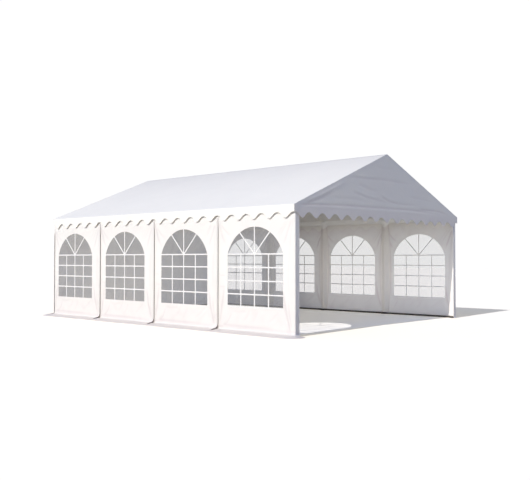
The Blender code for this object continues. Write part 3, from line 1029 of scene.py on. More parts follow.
    def place(
        self, w: np.ndarray, height: np.ndarray, rise: np.ndarray, low: np.ndarray | float = -0.2
    ) -> tuple[np.ndarray, np.ndarray]:
        """Points and outward directions in the tent, by the place on the cloth.

        Along the bay the wall is a plane at constant X. Round the front corner it is a quarter circle in
        plan, and then a strip at constant Y.

        Args:
            w: distance along the wall.
            height: height along the cloth.
            rise: how far the point stands out.
            low: height along the cloth of its lower edge.

        Returns:
            The points, and the way the outer face looks.
        """
        outwards, z, turn = hang_section(height, rise, low, self.radius(w))
        x = np.full_like(w, -HALF_WIDTH)
        y = self.front + np.maximum(w, 0.0)
        look_x, look_y = -np.ones_like(w), np.zeros_like(w)
        if self.corner:
            bend = np.clip((CORNER_RADIUS - w) / CORNER_RADIUS, 0.0, math.pi / 2)
            strip = np.maximum(CORNER_RADIUS - w - CORNER_RADIUS * math.pi / 2, 0.0)
            look_x, look_y = -np.cos(bend), -np.sin(bend)
            turned = w < CORNER_RADIUS
            x = np.where(turned, -HALF_WIDTH + CORNER_RADIUS * (1 + look_x) + strip, x)
            y = np.where(turned, self.front + CORNER_RADIUS * (1 + look_y), self.front + w)
        points = np.stack([-self.side.value * (x + outwards * look_x), y + outwards * look_y, z], axis=-1)
        look = np.stack([-self.side.value * look_x * np.cos(turn), look_y * np.cos(turn), np.sin(turn)], axis=-1)
        return points, look

    def build(self, wardrobe: Wardrobe) -> bpy.types.Object:
        """Args:
            wardrobe: the finishes.

        Returns:
            The piece.
        """
        w, height, keep = self.grid()
        rise, shade, inner = self.rise(w, height)
        points, look = self.place(w, height, rise, height[:1])
        edge = np.minimum.reduce(
            [
                w - w.min(),
                w.max() - w,
                WALL_TOP - height,
                height - height[0],
                window_distance(w - self.middle, height),
            ]
        )
        flat = np.stack([w, height], axis=-1)
        name = f"side_sheet_{self.side.label}_{self.number}"
        cloth = ClothGrid(name, points, look, flat, shade, edge, keep, inside=inner)
        piece = hand_over(cloth.build(wardrobe.fabric), (f"wall_{self.side.label}_{self.number}",))
        return piece


@dataclass
class WindowUnit:
    """The film and the glazing bars of one window.

    Attributes:
        wall: the panel that the window is in.
        bar_width: width of the tape.
        bar_thickness: thickness over both tapes, inside and outside the film.
        inset: gap between the film and the wall's cut edge.
        sill_light_band: width of a white strip along the sill of the left front window only, a painted light that
            stands for the bright floor seen through the bottom of that pane.
    """

    wall: SideWall
    bar_width: float = 0.026
    bar_thickness: float = 0.005
    inset: float = 0.0004
    sill_light_band: float = 0.030

    def rise(self, across: np.ndarray, height: np.ndarray) -> np.ndarray:
        """How far the film stands out: what the wall's folds leave at its edge, and its own soft waves."""
        folds, _ = fold_field(self.wall.creases(), across + self.wall.middle, height)
        waves = ripples(across + self.wall.middle, height, 7 + self.wall.number, 0.7, 0.0012)
        return 0.3 * (folds + waves) + 0.012 * smooth_step(height, 1.90, 2.20)

    def film(self, wardrobe: Wardrobe) -> bpy.types.Object:
        """Makes the film: columns spaced by the arch's angle, rows from the sill to the arch.

        Args:
            wardrobe: the finishes.

        Returns:
            The piece.
        """
        sweep = math.asin((WINDOW_HALF - self.inset) / ARC_RADIUS)
        across = ARC_RADIUS * np.sin(np.linspace(-sweep, sweep, 45))
        sill, top = WINDOW_SILL + self.inset, arch_height(across) - self.inset
        height = sill + (top - sill) * np.linspace(0, 1, 41)[:, None]
        across = np.broadcast_to(across, height.shape).copy()
        points, look = self.wall.place(across + self.wall.middle, height, self.rise(across, height))
        flat = np.stack([across, height], axis=-1)
        edge = np.minimum(WINDOW_HALF - np.abs(across), height - sill)
        label, number = self.wall.side.label, self.wall.number
        cloth = ClothGrid(
            f"film_{label}_{number}", points, look, flat, np.zeros_like(height), edge, thickness=0.0012
        )
        film = wardrobe.film if self.wall.side is Side.LEFT else wardrobe.shaded_side_film
        piece = hand_over(cloth.build(film), (f"window_{label}_{number}",))
        return piece

    def bar(
        self, start: tuple[float, float], end: tuple[float, float], thin: float, width: float
    ) -> tuple[np.ndarray, list]:
        """One glazing bar: a flat section with rounded edges, carried along a straight line on the film.

        Args:
            start: its start, as distance from the window's middle and height.
            end: its end.
            thin: how much thinner than a full bar it is, so that bars cross cleanly.
            width: its width.

        Returns:
            Its points, and its faces.
        """
        count = max(4, int(math.dist(start, end) / 0.07))
        share = np.linspace(0, 1, count + 1)[:, None]
        along = (np.array(end) - np.array(start)) / math.dist(start, end)
        half, edge = width / 2, self.bar_thickness / 2 - thin
        section = np.array(
            [(half, 0.3), (half - 0.0012, 1), (-half + 0.0012, 1), (-half, 0.3),
             (-half, -0.3), (-half + 0.0012, -1), (half - 0.0012, -1), (half, -0.3)]
        )
        across = start[0] + share * (end[0] - start[0]) - along[1] * section[:, 0]
        height = start[1] + share * (end[1] - start[1]) + along[0] * section[:, 0]
        rise = self.rise(across, height) + edge * section[:, 1]
        points, _ = self.wall.place(across + self.wall.middle, height, rise)
        sides = len(section)
        ring = np.arange(sides)
        rows = np.arange(count)[:, None] * sides
        quads = np.stack(
            [rows + ring, rows + (ring + 1) % sides, rows + sides + (ring + 1) % sides, rows + sides + ring], axis=-1
        ).reshape(-1, 4)
        caps = [list(ring[::-1]), list(ring + count * sides)]
        return points.reshape(-1, 3), [*quads.tolist(), *[[int(i) for i in cap] for cap in caps]]

    def bars(self, wardrobe: Wardrobe) -> bpy.types.Object:
        """Makes the bars: four across, three up, and a fan of three in the arch.

        Args:
            wardrobe: the finishes.

        Returns:
            The piece.
        """
        side, sill = WINDOW_HALF - 0.001, WINDOW_SILL + 0.001
        lean = 0.39
        fan = float(arch_height(np.array(lean))) - 0.003
        lines = [((-side, z), (side, z), 0.0) for z in (WINDOW_SPRING, 1.26, 1.0, 0.74)]
        lines += [((x, sill), (x, WINDOW_SPRING), 0.0005) for x in (-0.3625, 0.0, 0.3625)]
        lines += [((0.0, WINDOW_SPRING), (x, z), 0.0008) for x, z in ((-lean, fan), (lean, fan))]
        lines += [((0.0, WINDOW_SPRING), (0.0, WINDOW_CROWN - 0.002), 0.0005)]
        lines = [(*line, self.bar_width) for line in lines]
        # A white strip on this window's sill only: painted light for the bright floor seen through the bottom of the
        # pane.
        if self.wall.side is Side.LEFT and self.wall.corner:
            lines.append(((-side, sill + self.sill_light_band / 2), (side, sill + self.sill_light_band / 2), 0.0011, self.sill_light_band))
        points, faces, used = [], [], 0
        for start, end, thin, width in lines:
            more, cells = self.bar(start, end, thin, width)
            points.append(more)
            faces += [[i + used for i in cell] for cell in cells]
            used += len(more)
        name = f"glazing_bars_{self.wall.side.label}_{self.wall.number}"
        piece = put_mesh(name, np.concatenate(points), faces, wardrobe.tape, 40)
        flip_if_inside_out(piece)
        return hand_over(piece)


def flip_if_inside_out(piece: bpy.types.Object) -> None:
    """Turns a closed mesh's faces round if its signed volume is negative."""
    mesh = piece.data
    points = np.empty(len(mesh.vertices) * 3)
    mesh.vertices.foreach_get("co", points)
    points = points.reshape(-1, 3)
    mesh.calc_loop_triangles()
    corners = np.empty(len(mesh.loop_triangles) * 3, np.int32)
    mesh.loop_triangles.foreach_get("vertices", corners)
    a, b, c = points[corners.reshape(-1, 3)].transpose(1, 0, 2)
    if (np.cross(a, b) * c).sum() < 0:
        mesh.flip_normals()


BACK_CREASES = (
    Crease(((-2.95, 2.15), (-2.70, 1.75), (-2.35, 1.25)), 0.05, -0.0066, 0.20, 1.4),
    Crease(((-2.90, 2.15), (-2.50, 1.90), (-1.90, 1.60)), 0.05, -0.0050, 0.15, 1.5),
    Crease(((2.95, 2.15), (2.70, 1.75), (2.35, 1.25)), 0.05, -0.0066, 0.20, 1.4),
    Crease(((2.90, 2.15), (2.50, 1.90), (1.90, 1.60)), 0.05, -0.0050, 0.15, 1.5),
    Crease(((-2.95, 0.10), (-2.75, 0.55), (-2.65, 1.05)), 0.04, -0.0072, 0.23, 1.3),
    Crease(((2.95, 0.10), (2.75, 0.55), (2.65, 1.05)), 0.04, -0.0072, 0.23, 1.3),
    Crease(((-2.92, 0.08), (-2.60, 0.30), (-2.20, 0.62)), 0.045, 0.0066),
    Crease(((2.92, 0.08), (2.60, 0.30), (2.20, 0.62)), 0.045, 0.0066),
    Crease(((-1.02, 2.20), (-1.10, 1.60), (-1.35, 0.95)), 0.045, -0.0055, 0.14, 1.6),
    Crease(((-0.98, 2.20), (-0.85, 1.55), (-0.55, 1.00)), 0.045, -0.0055, 0.14, 1.6),
    Crease(((1.02, 2.20), (1.10, 1.60), (1.35, 0.95)), 0.045, -0.0055, 0.14, 1.6),
    Crease(((0.98, 2.20), (0.85, 1.55), (0.55, 1.00)), 0.045, -0.0055, 0.14, 1.6),
    Crease(((-1.05, 0.10), (-1.25, 0.50), (-1.60, 0.85)), 0.04, -0.0050, 0.15, 1.4),
    Crease(((-0.95, 0.10), (-0.75, 0.50), (-0.40, 0.85)), 0.04, -0.0050, 0.15, 1.4),
    Crease(((1.05, 0.10), (1.25, 0.50), (1.60, 0.85)), 0.04, -0.0050, 0.15, 1.4),
    Crease(((0.95, 0.10), (0.75, 0.50), (0.40, 0.85)), 0.04, -0.0050, 0.15, 1.4),
    Crease(((-2.4, 1.55), (-1.2, 0.95), (0.2, 0.75)), 0.10, 0.0055, 0.00, 1.3, 0.3),
    Crease(((2.5, 1.35), (1.4, 1.10), (0.1, 1.30)), 0.10, 0.0055, 0.00, 1.3, 0.3),
    Crease(((2.90, 0.135), (1.0, 0.12), (-0.3, 0.125)), 0.035, -0.0039, 0.25, 1.0, 0.08),
    Crease(((-2.90, 0.135), (-1.0, 0.12), (0.3, 0.125)), 0.035, -0.0039, 0.25, 1.0, 0.08),
)


@dataclass
class BackWall:
    """The plain wall across the closed end: one cloth that turns both back corners and laps the side walls.

    Attributes:
        step: how far its ends stand proud of the side walls.
        wrap: how far it reaches round each corner, past the curve.
        reach: the skirt's reach.
        side_reach: the skirt's reach beside the corners, inside the solid's bounds.
    """

    step: float = 0.022
    wrap: float = 0.005
    reach: float = 0.20
    side_reach: float = 0.30

    @property
    def straight(self) -> float:
        """Half the straight part."""
        return HALF_WIDTH - CORNER_RADIUS

    @property
    def end(self) -> float:
        """Distance from the middle to each end, along the cloth."""
        return self.straight + CORNER_RADIUS * math.pi / 2 + self.wrap

    def build(self, wardrobe: Wardrobe) -> bpy.types.Object:
        """Its columns run from the left end to the right end, with the turned-in edges beyond them.

        Args:
            wardrobe: the finishes.

        Returns:
            The piece.
        """
        half = np.concatenate(
            [
                np.linspace(0.0, self.straight, 116),
                np.linspace(self.straight, self.end - self.wrap, 10)[1:],
                self.end - self.wrap + np.array([0.002, self.wrap - 0.0005, self.wrap]),
                self.end + np.array([0.001, 0.010, 0.019]),
            ]
        )
        w = np.concatenate([-half[:0:-1], half])
        reach = np.interp(
            np.abs(w),
            (self.straight - 0.25, self.straight, self.straight + 0.011, self.straight + 0.022, self.end),
            (self.reach, self.reach, 0.235, 0.285, self.side_reach),
        )
        low = skirt_edge(reach)
        top = foot_height(low)
        bend = top - FOOT_RADIUS * FOOT_TURN
        height = np.concatenate(
            [
                low + (bend - low) * np.linspace(0, 1, 6)[:-1, None],
                bend + (top - bend) * np.linspace(0, 1, 8)[:-1, None],
                top + (WALL_TOP - top) * np.linspace(0, 1, 78)[:, None],
            ]
        )
        w = np.broadcast_to(w, height.shape).copy()
        rise, shade = self.rise(w, height)
        points, look = self.place(w, height, rise, height[:1])
        seams = np.minimum(np.abs(w - 1.0), np.abs(w + 1.0)) + 0.005
        edge = np.minimum.reduce([w.max() - np.abs(w), WALL_TOP - height, height - height[0], seams])
        flat = np.stack([w, height], axis=-1)
        cloth = ClothGrid("back_sheet", points, look, flat, shade, edge)
        piece = hand_over(cloth.build(wardrobe.fabric), ("wall_back",))
        return piece

    def rise(self, w: np.ndarray, height: np.ndarray) -> tuple[np.ndarray, np.ndarray]:
        """How far the cloth stands out, and how dark its folds are.

        Args:
            w: distance along the cloth from the middle.
            height: height along the cloth.

        Returns:
            The rise in metres and the painted shade.
        """
        rise, shade = fold_field(list(BACK_CREASES), w, height)
        rise += ripples(w, height, 61, 0.9, 0.004)
        far = np.abs(w)
        inside = np.minimum(1 - smooth_step(far, 2.80, 2.95), 1 - smooth_step(height, 2.0, 2.25))
        inside = np.minimum(inside, smooth_step(height, 0.02, 0.14))
        rise = np.where(rise < 0, rise * inside, rise)
        rise *= 1 - smooth_step(far, 2.86, 2.97)
        rise *= 1 - 0.8 * smooth_step(height, 2.05, 2.20)
        step = self.step * (1 - 0.55 * smooth_step(height, 2.0, 2.14))
        hem = step * smooth_step(far, self.straight - 0.10, self.straight)
        hem = np.where(far > self.end, np.maximum(step - (far - self.end), 0.003), hem)
        rise *= 1 - 0.7 * smooth_step(0.10 - height, 0.0, 0.12)
        rise += hem * smooth_step(height, -0.34, -0.05)
        # Painted shade on the turned-in ends: the dark gap line at each back corner seam.
        shade = np.where(far > self.end, 0.8 * smooth_step(height, -0.10, 0.02), shade)
        return rise, np.clip(shade, 0.0, 1.0)

    def place(
        self, w: np.ndarray, height: np.ndarray, rise: np.ndarray, low: np.ndarray
    ) -> tuple[np.ndarray, np.ndarray]:
        """Points and outward directions: straight at constant Y, a quarter circle in plan at each corner.

        Args:
            w: distance along the cloth from the middle.
            height: height along the cloth.
            rise: how far the point stands out.
            low: height along the cloth of its lower edge.

        Returns:
            The points, and the way the outer face looks.
        """
        outwards, z, turn = hang_section(height, rise, low)
        far = np.minimum(np.abs(w), self.end)
        sign = np.where(w < 0, -1.0, 1.0)
        bend = np.clip((far - self.straight) / CORNER_RADIUS, 0.0, math.pi / 2)
        past = np.maximum(far - self.straight - CORNER_RADIUS * math.pi / 2, 0.0)
        look_x, look_y = sign * np.sin(bend), np.cos(bend)
        x = sign * np.minimum(far, self.straight) + CORNER_RADIUS * look_x
        y = HALF_LENGTH - CORNER_RADIUS * (1 - look_y) - past
        points = np.stack([x + outwards * look_x, y + outwards * look_y, z], axis=-1)
        look = np.stack([look_x * np.cos(turn), look_y * np.cos(turn), np.sin(turn)], axis=-1)
        return points, look


ROOF_CREASES = (
    Crease(((-3.6, 0.55), (-1.2, 1.45), (1.4, 2.15)), 0.07, 0.0025, 0.03, 1.3, 0.3),
    Crease(((3.4, 0.50), (1.6, 1.30), (-0.6, 2.40)), 0.08, -0.0022, 0.04, 1.3, 0.3),
    Crease(((-1.9, 2.90), (-1.2, 2.0), (-0.9, 0.9)), 0.06, 0.0018, 0.03, 1.4, 0.3),
    Crease(((2.1, 2.80), (2.6, 1.9), (2.9, 0.8)), 0.06, 0.0018, 0.03, 1.4, 0.3),
    Crease(((0.2, 0.35), (0.9, 0.9), (1.9, 1.2)), 0.05, -0.002, 0.04, 1.4, 0.3),
)


@dataclass
class RoofCover:
    """The roof cloth: both slopes, folded over the eaves into scalloped valances.

    Attributes:
        fold: radius of the fold at each eave.
        sag: how far the cloth hangs between two rafters.
    """

    fold: float = 0.012
    sag: float = 0.012

    def build(self, wardrobe: Wardrobe) -> bpy.types.Object:
        """Rows run over the roof from the left scallops to the right ones, and columns along it.

        Args:
            wardrobe: the finishes.

        Returns:
            The piece.
        """
        y = np.linspace(-ROOF_HALF_LENGTH, ROOF_HALF_LENGTH, 261)
        hem = scallop_height(y - HALF_LENGTH)
        slope_length = math.hypot(ROOF_HALF_WIDTH, RIDGE_HEIGHT - EAVE_HEIGHT)
        drop = np.linspace(1, 0, 12)[:-1, None]
        valance_z = EAVE_HEIGHT - self.fold - (EAVE_HEIGHT - self.fold - hem) * drop
        valance_x = np.full_like(valance_z, -ROOF_HALF_WIDTH)
        corner = math.atan(ROOF_SLOPE)
        tilt = np.linspace(0.0, math.pi / 2 - corner, 6)[:, None]
        tuck = self.fold * math.tan((math.pi / 2 - corner) / 2)
        bend_x = -ROOF_HALF_WIDTH + self.fold * (1 - np.cos(tilt)) + 0 * y
        bend_z = EAVE_HEIGHT - tuck + self.fold * np.sin(tilt) + 0 * y
        valance_z = EAVE_HEIGHT - tuck - (EAVE_HEIGHT - tuck - hem) * drop
        start = float(bend_x[-1, 0])
        slope_x = np.linspace(start, 0.0, 48)[1:, None] + 0 * y
        slope_z = roof_height(slope_x)
        x = np.concatenate([valance_x, bend_x, slope_x])
        z = np.concatenate([valance_z, bend_z, slope_z])
        look_x = np.concatenate(
            [-np.ones_like(valance_x), -np.cos(tilt) + 0 * y, np.full_like(slope_x, -math.sin(corner))]
        )
        look_z = np.concatenate(
            [np.zeros_like(valance_x), np.sin(tilt) + 0 * y, np.full_like(slope_x, math.cos(corner))]
        )
        along = np.broadcast_to(y, x.shape)
        halves = []
        for side in Side:
            up = np.maximum(-x, 0.0)
            rise, shade = self.rise(along, up, z, hem, side, slope_length)
            sign = -side.value
            points = np.stack([sign * (x + rise * look_x), along, z + rise * look_z], axis=-1)
            look = np.stack([sign * look_x, np.zeros_like(x), look_z], axis=-1)
            halves.append((points, look, shade))
        down = [slice(None), slice(-2, None, -1)]
        points = np.concatenate([halves[0][0], halves[1][0][down[1]]])
        look = np.concatenate([halves[0][1], halves[1][1][down[1]]])
        shade = np.concatenate([halves[0][2], halves[1][2][down[1]]])
        steps = np.linalg.norm(np.diff(points, axis=0), axis=-1)
        path = np.concatenate([0 * steps[:1], np.cumsum(steps, axis=0)])
        path -= path[len(path) // 2]
        flat = np.stack([np.broadcast_to(y, path.shape), path], axis=-1)
        gap = np.minimum(points[..., 2] - hem, 0.2)
        hem_side = np.where(np.abs(points[..., 0]) > ROOF_HALF_WIDTH - 0.03, gap, 0.2)
        widths = np.min(np.abs(points[..., 1:2] - np.array([-2.0, 0.0, 2.0])), axis=-1) + 0.005
        edge = np.minimum.reduce([hem_side + 0.015, ROOF_HALF_LENGTH - np.abs(points[..., 1]), widths])
        # The inner face gets more painted shade than the outer.
        cloth = ClothGrid("roof_sheet", points, look, flat, shade, edge, inside=np.clip(shade + 0.30, 0, 1))
        piece = hand_over(cloth.build(wardrobe.roofing), ("roof_cover",))
        return piece

    def rise(
        self,
        along: np.ndarray,
        up: np.ndarray,
        z: np.ndarray,
        hem: np.ndarray,
        side: Side,
        slope_length: float,
    ) -> tuple[np.ndarray, np.ndarray]:
        """How far the roof cloth stands off its plane, and how dark its folds are.

        Between two rafters it sags by a squared sine along the roof times a sine up the slope. The valance
        sways along the eave, more towards its hem.

        Args:
            along: Y of the points.
            up: distance from the ridge, across the tent.
            z: height of the points.
            hem: height of the scalloped edge under them.
            side: the side of the roof.
            slope_length: length of a slope.

        Returns:
            The rise in metres and the painted shade, which also darkens each slope towards the ridge.
        """
        share = np.clip(1 - up / ROOF_HALF_WIDTH, 0.0, 1.0)
        between = np.sin(np.pi * np.clip(along, -3.9742, 3.9742) / BAY) ** 2
        rise = -self.sag * between * np.sin(np.pi * share)
        folds, shade = fold_field(
            list(ROOF_CREASES), along * (1 if side is Side.LEFT else -1), share * slope_length
        )
        soft = ripples(along, share * slope_length, 90 + side.value, 1.1, 0.0010)
        free = np.sin(np.pi * share) * smooth_step(between, 0.02, 0.4)
        rise += (folds + soft) * free
        on_valance = np.clip((EAVE_HEIGHT - z) / (EAVE_HEIGHT - SCALLOP_LOW), 0.0, 1.0) * (share < 0.02)
        sway = np.sin(2 * np.pi * along / 0.8 + side.value) * np.cos(along * 1.3)
        rise += on_valance * (0.0025 * sway - 0.008)
        lobe = np.sin(np.pi * (along - HALF_LENGTH) / SCALLOP_PITCH) ** 2
        rise += 0.002 * on_valance**2 * lobe
        # Painted shade that darkens each slope towards the ridge.
        shade += 0.34 * share**1.7
        return rise, np.clip(shade, 0, 1) * (share > 0.01)


FRONT_CREASES = (
    Crease(
        ((-3.0, 2.42), (-2.04, 2.45), (-1.54, 2.485), (-0.86, 2.475), (0.21, 2.49), (1.21, 2.50), (2.95, 2.41)),
        0.024, -0.0035, 0.34, 1.1, 0.05,
    ),
    Crease(((-2.9, 2.385), (-1.0, 2.42), (0.6, 2.435), (2.0, 2.43), (2.9, 2.37)), 0.030, 0.0025, 0.0, 1.0, 0.08),
    Crease(((-1.45, 3.05), (-0.78, 3.06), (-0.04, 3.09), (0.43, 3.07), (1.30, 3.08)), 0.022, -0.0022, 0.20, 1.2),
    Crease(((-1.40, 3.09), (-0.78, 3.10), (-0.10, 3.12)), 0.022, 0.0015),
    Crease(((-1.30, 2.77), (-0.74, 2.67), (-0.21, 2.63), (0.20, 2.58)), 0.020, -0.0022, 0.22, 1.2),
    Crease(((-1.25, 2.81), (-0.70, 2.71), (-0.15, 2.67)), 0.022, 0.002),
    Crease(((-0.32, 2.74), (0.08, 2.63), (0.56, 2.60), (1.40, 2.62)), 0.020, -0.0028, 0.24, 1.2),
    Crease(((-0.25, 2.78), (0.12, 2.67), (0.55, 2.64)), 0.022, 0.0022),
    Crease(((-2.80, 2.46), (-2.31, 2.62), (-1.68, 2.86), (-1.24, 3.06)), 0.045, 0.004, 0.0, 1.2),
    Crease(((-2.75, 2.45), (-2.24, 2.58), (-1.85, 2.74)), 0.036, -0.003, 0.24, 1.3),
    Crease(((1.21, 2.53), (2.10, 2.53), (2.75, 2.44)), 0.026, -0.0035, 0.36),
    Crease(((-1.10, 2.93), (-0.54, 2.83), (-0.25, 2.84)), 0.030, -0.002, 0.14),
    Crease(((-2.35, 2.41), (-1.86, 2.39), (-1.6, 2.40)), 0.016, -0.0015, 0.14),
    Crease(((-2.0, 2.60), (-1.2, 2.62), (-0.5, 2.56)), 0.030, -0.0015, 0.08),
    Crease(((0.8, 2.78), (1.5, 2.76), (2.0, 2.70)), 0.024, -0.0015, 0.10),
    Crease(((2.80, 2.44), (2.30, 2.56), (1.95, 2.72)), 0.040, 0.0025, 0.0, 1.3),
    Crease(((-0.5, 3.35), (-0.1, 3.32), (0.35, 3.36)), 0.030, -0.0015, 0.08),
)

REAR_CREASES = tuple(
    Crease(tuple((-x, z) for x, z in crease.path), crease.width, crease.rise, crease.shade, crease.spread, crease.fade)
    for crease in FRONT_CREASES[:2] + FRONT_CREASES[4:6] + FRONT_CREASES[8:13]
)


@dataclass
class GableSheet:
    """A triangular cloth under the roof's edge, with a scalloped band below the eaves.

    Attributes:
        name: the piece's name.
        node: the solid that it stands for.
        facing: the sign of Y that its outer face looks to.
        creases: its folds.
        seed: seed of its ripples.
    """

    name: str
    node: str
    facing: int
    creases: tuple[Crease, ...]
    seed: int

    def build(self, wardrobe: Wardrobe) -> bpy.types.Object:
        """Columns run across the tent, and rows from the scalloped edge up to the roof's underside.

        Args:
            wardrobe: the finishes.

        Returns:
            The piece.
        """
        half = ROOF_HALF_WIDTH - 0.0018
        x = np.linspace(-half, half, 241)
        hem = scallop_height(x - HALF_WIDTH + 0.02)
        rake = roof_height(x) - 0.0019
        share = np.concatenate([np.linspace(0, 0.28, 19)[:-1], np.linspace(0.28, 1, 43)])[:, None]
        z = hem + (rake - hem) * share
        x = np.broadcast_to(x, z.shape).copy()
        folds, shade = fold_field(list(self.creases), x, z)
        shade *= 0.75
        soft = ripples(x, z, self.seed, 0.55, 0.0011)
        held = smooth_step(rake - z, 0.0, 0.10) * smooth_step(half - np.abs(x), 0.0, 0.10)
        below = np.clip((EAVE_HEIGHT + 0.04 - z) / 0.28, 0.0, 1.0)
        lobe = np.sin(np.pi * (x - HALF_WIDTH) / SCALLOP_PITCH) ** 2
        flare = 0.003 * below * (0.8 + 0.2 * np.sin(3.1 * x)) + 0.002 * below**2 * lobe
        rise = (folds + soft) * held * (1 - 0.5 * below) + flare
        rise = np.maximum(rise, -0.012)
        y = self.facing * (ROOF_HALF_LENGTH - REST + rise)
        look = np.zeros((*z.shape, 3))
        look[..., 1] = self.facing
        flat = np.stack([x, z], axis=-1)
        edge = np.minimum.reduce([rake - z, z - hem + 0.015, half - np.abs(x)])
        points = np.stack([x, y, z], axis=-1)
        # Painted shade along the folds, and on the scalloped band below the eaves, more towards its hem.
        cloth = ClothGrid(self.name, points, look, flat, np.clip(shade + 0.20 * below**0.5, 0, 1), edge)
        piece = hand_over(cloth.build(wardrobe.fabric), (self.node,))
        return piece


@dataclass
class LegSleeve:
    """The cloth pocket on a wall's inner face that covers a middle leg, with soft folds on both flanks.

    Attributes:
        side: the side of the tent.
        number: the leg's number.
        depth: how far it stands in from the wall at the leg.
        low: its lower edge, above the ground rail.
        high: its upper edge.
    """

    side: Side
    number: int
    depth: float = 0.0525
    low: float = 0.050
    high: float = 2.375

    def build(self, wardrobe: Wardrobe) -> bpy.types.Object:
        """Its section is a raised cosine, widest at half height like a spindle, with a shallow fold on each flank.

        Args:
            wardrobe: the finishes.

        Returns:
            The piece.
        """
        y0 = LEG_YS[self.number - 1]
        share = np.linspace(-1, 1, 37)
        z = np.linspace(self.low, self.high, 81)[:, None] + 0 * share
        share = np.broadcast_to(share, z.shape).copy()
        swell = np.sin(np.pi * np.clip((z - 0.1) / 2.15, 0, 1)) ** 0.8
        width = 0.095 + 0.085 * swell
        across = share * width
        bell = (0.5 + 0.5 * np.cos(np.pi * np.clip(np.abs(across) / 0.115, 0, 1))) ** 0.85
        depth = self.depth * bell
        flank = np.exp(-(((np.abs(share) - 0.78) / 0.12) ** 2))
        depth = depth + 0.006 * flank * swell + 0.0035
        # Painted shade: along both flanks, at its top under the eave strip's tongue, and on the third leg's sleeve a
        # dark line at its open edge.
        shade = 0.35 * np.exp(-(((np.abs(share) - 0.93) / 0.08) ** 2))
        shade += 0.25 * smooth_step(z, 2.05, 2.22) * np.exp(-((across / 0.10) ** 2))
        if self.number == 3:
            shade += 0.45 * np.exp(-(((across - 0.060) / 0.016) ** 2))
        x = self.side.value * (HALF_WIDTH - depth)
        points = np.stack([x, y0 + across, z], axis=-1)
        look = np.zeros((*z.shape, 3))
        look[..., 0] = -self.side.value
        flat = np.stack([across, z], axis=-1)
        edge = np.minimum(np.minimum(z - self.low, self.high - z), width - np.abs(across)) + 0.05
        name = f"leg_sleeve_{self.side.label}_{self.number}"
        cloth = ClothGrid(name, points, look, flat, np.clip(shade, 0, 1), edge, thickness=0.0016)
        piece = hand_over(cloth.build(wardrobe.fabric))
        return piece


@dataclass
class RafterSleeve:
    """The cloth pocket under the roof that covers a middle rafter.

    Attributes:
        side: the side of the tent.
        number: the rafter's number.
        depth: how far it stands below the roof at the rafter.
        inner: distance of its upper end from the ridge, across the tent.
        outer: distance of its lower end from the ridge, across the tent, along the middle.
        flare: how much further its lower end reaches at the sides, where it meets the eave strip.
    """

    side: Side
    number: int
    depth: float = 0.0530
    inner: float = 0.030
    outer: float = 2.870
    flare: float = 0.062

    def build(self, wardrobe: Wardrobe) -> bpy.types.Object:
        """Its section is a raised cosine square to the roof, the same all along the rafter.

        Args:
            wardrobe: the finishes.

        Returns:
            The piece.
        """
        share = np.broadcast_to(np.linspace(-1, 1, 29), (61, 29))
        across = 0.115 * share
        bell = (0.5 + 0.5 * np.cos(np.pi * np.clip(np.abs(across) / 0.105, 0, 1))) ** 0.85
        end = self.outer + self.flare * (1 - bell)
        out = self.inner + (end - self.inner) * np.linspace(0, 1, 61)[:, None]
        depth = 0.0035 + self.depth * bell
        tilt = math.atan(ROOF_SLOPE)
        x = out - depth * math.sin(tilt)
        z = roof_height(out) - depth * math.cos(tilt)
        points = np.stack([self.side.value * x, LEG_YS[self.number - 1] + across, z], axis=-1)
        look = np.zeros((*x.shape, 3))
        look[..., 0], look[..., 2] = -self.side.value * math.sin(tilt), -math.cos(tilt)
        flat = np.stack([across * 1.3, out / math.cos(tilt)], axis=-1)
        # Painted shade along both flanks.
        shade = 0.2 * np.exp(-(((np.abs(share) - 0.95) / 0.06) ** 2))
        edge = np.minimum(0.115 - np.abs(across), out - self.inner) + 0.05
        name = f"rafter_sleeve_{self.side.label}_{self.number}"
        cloth = ClothGrid(name, points, look, flat, shade, edge, thickness=0.0016)
        piece = hand_over(cloth.build(wardrobe.roofing))
        return piece


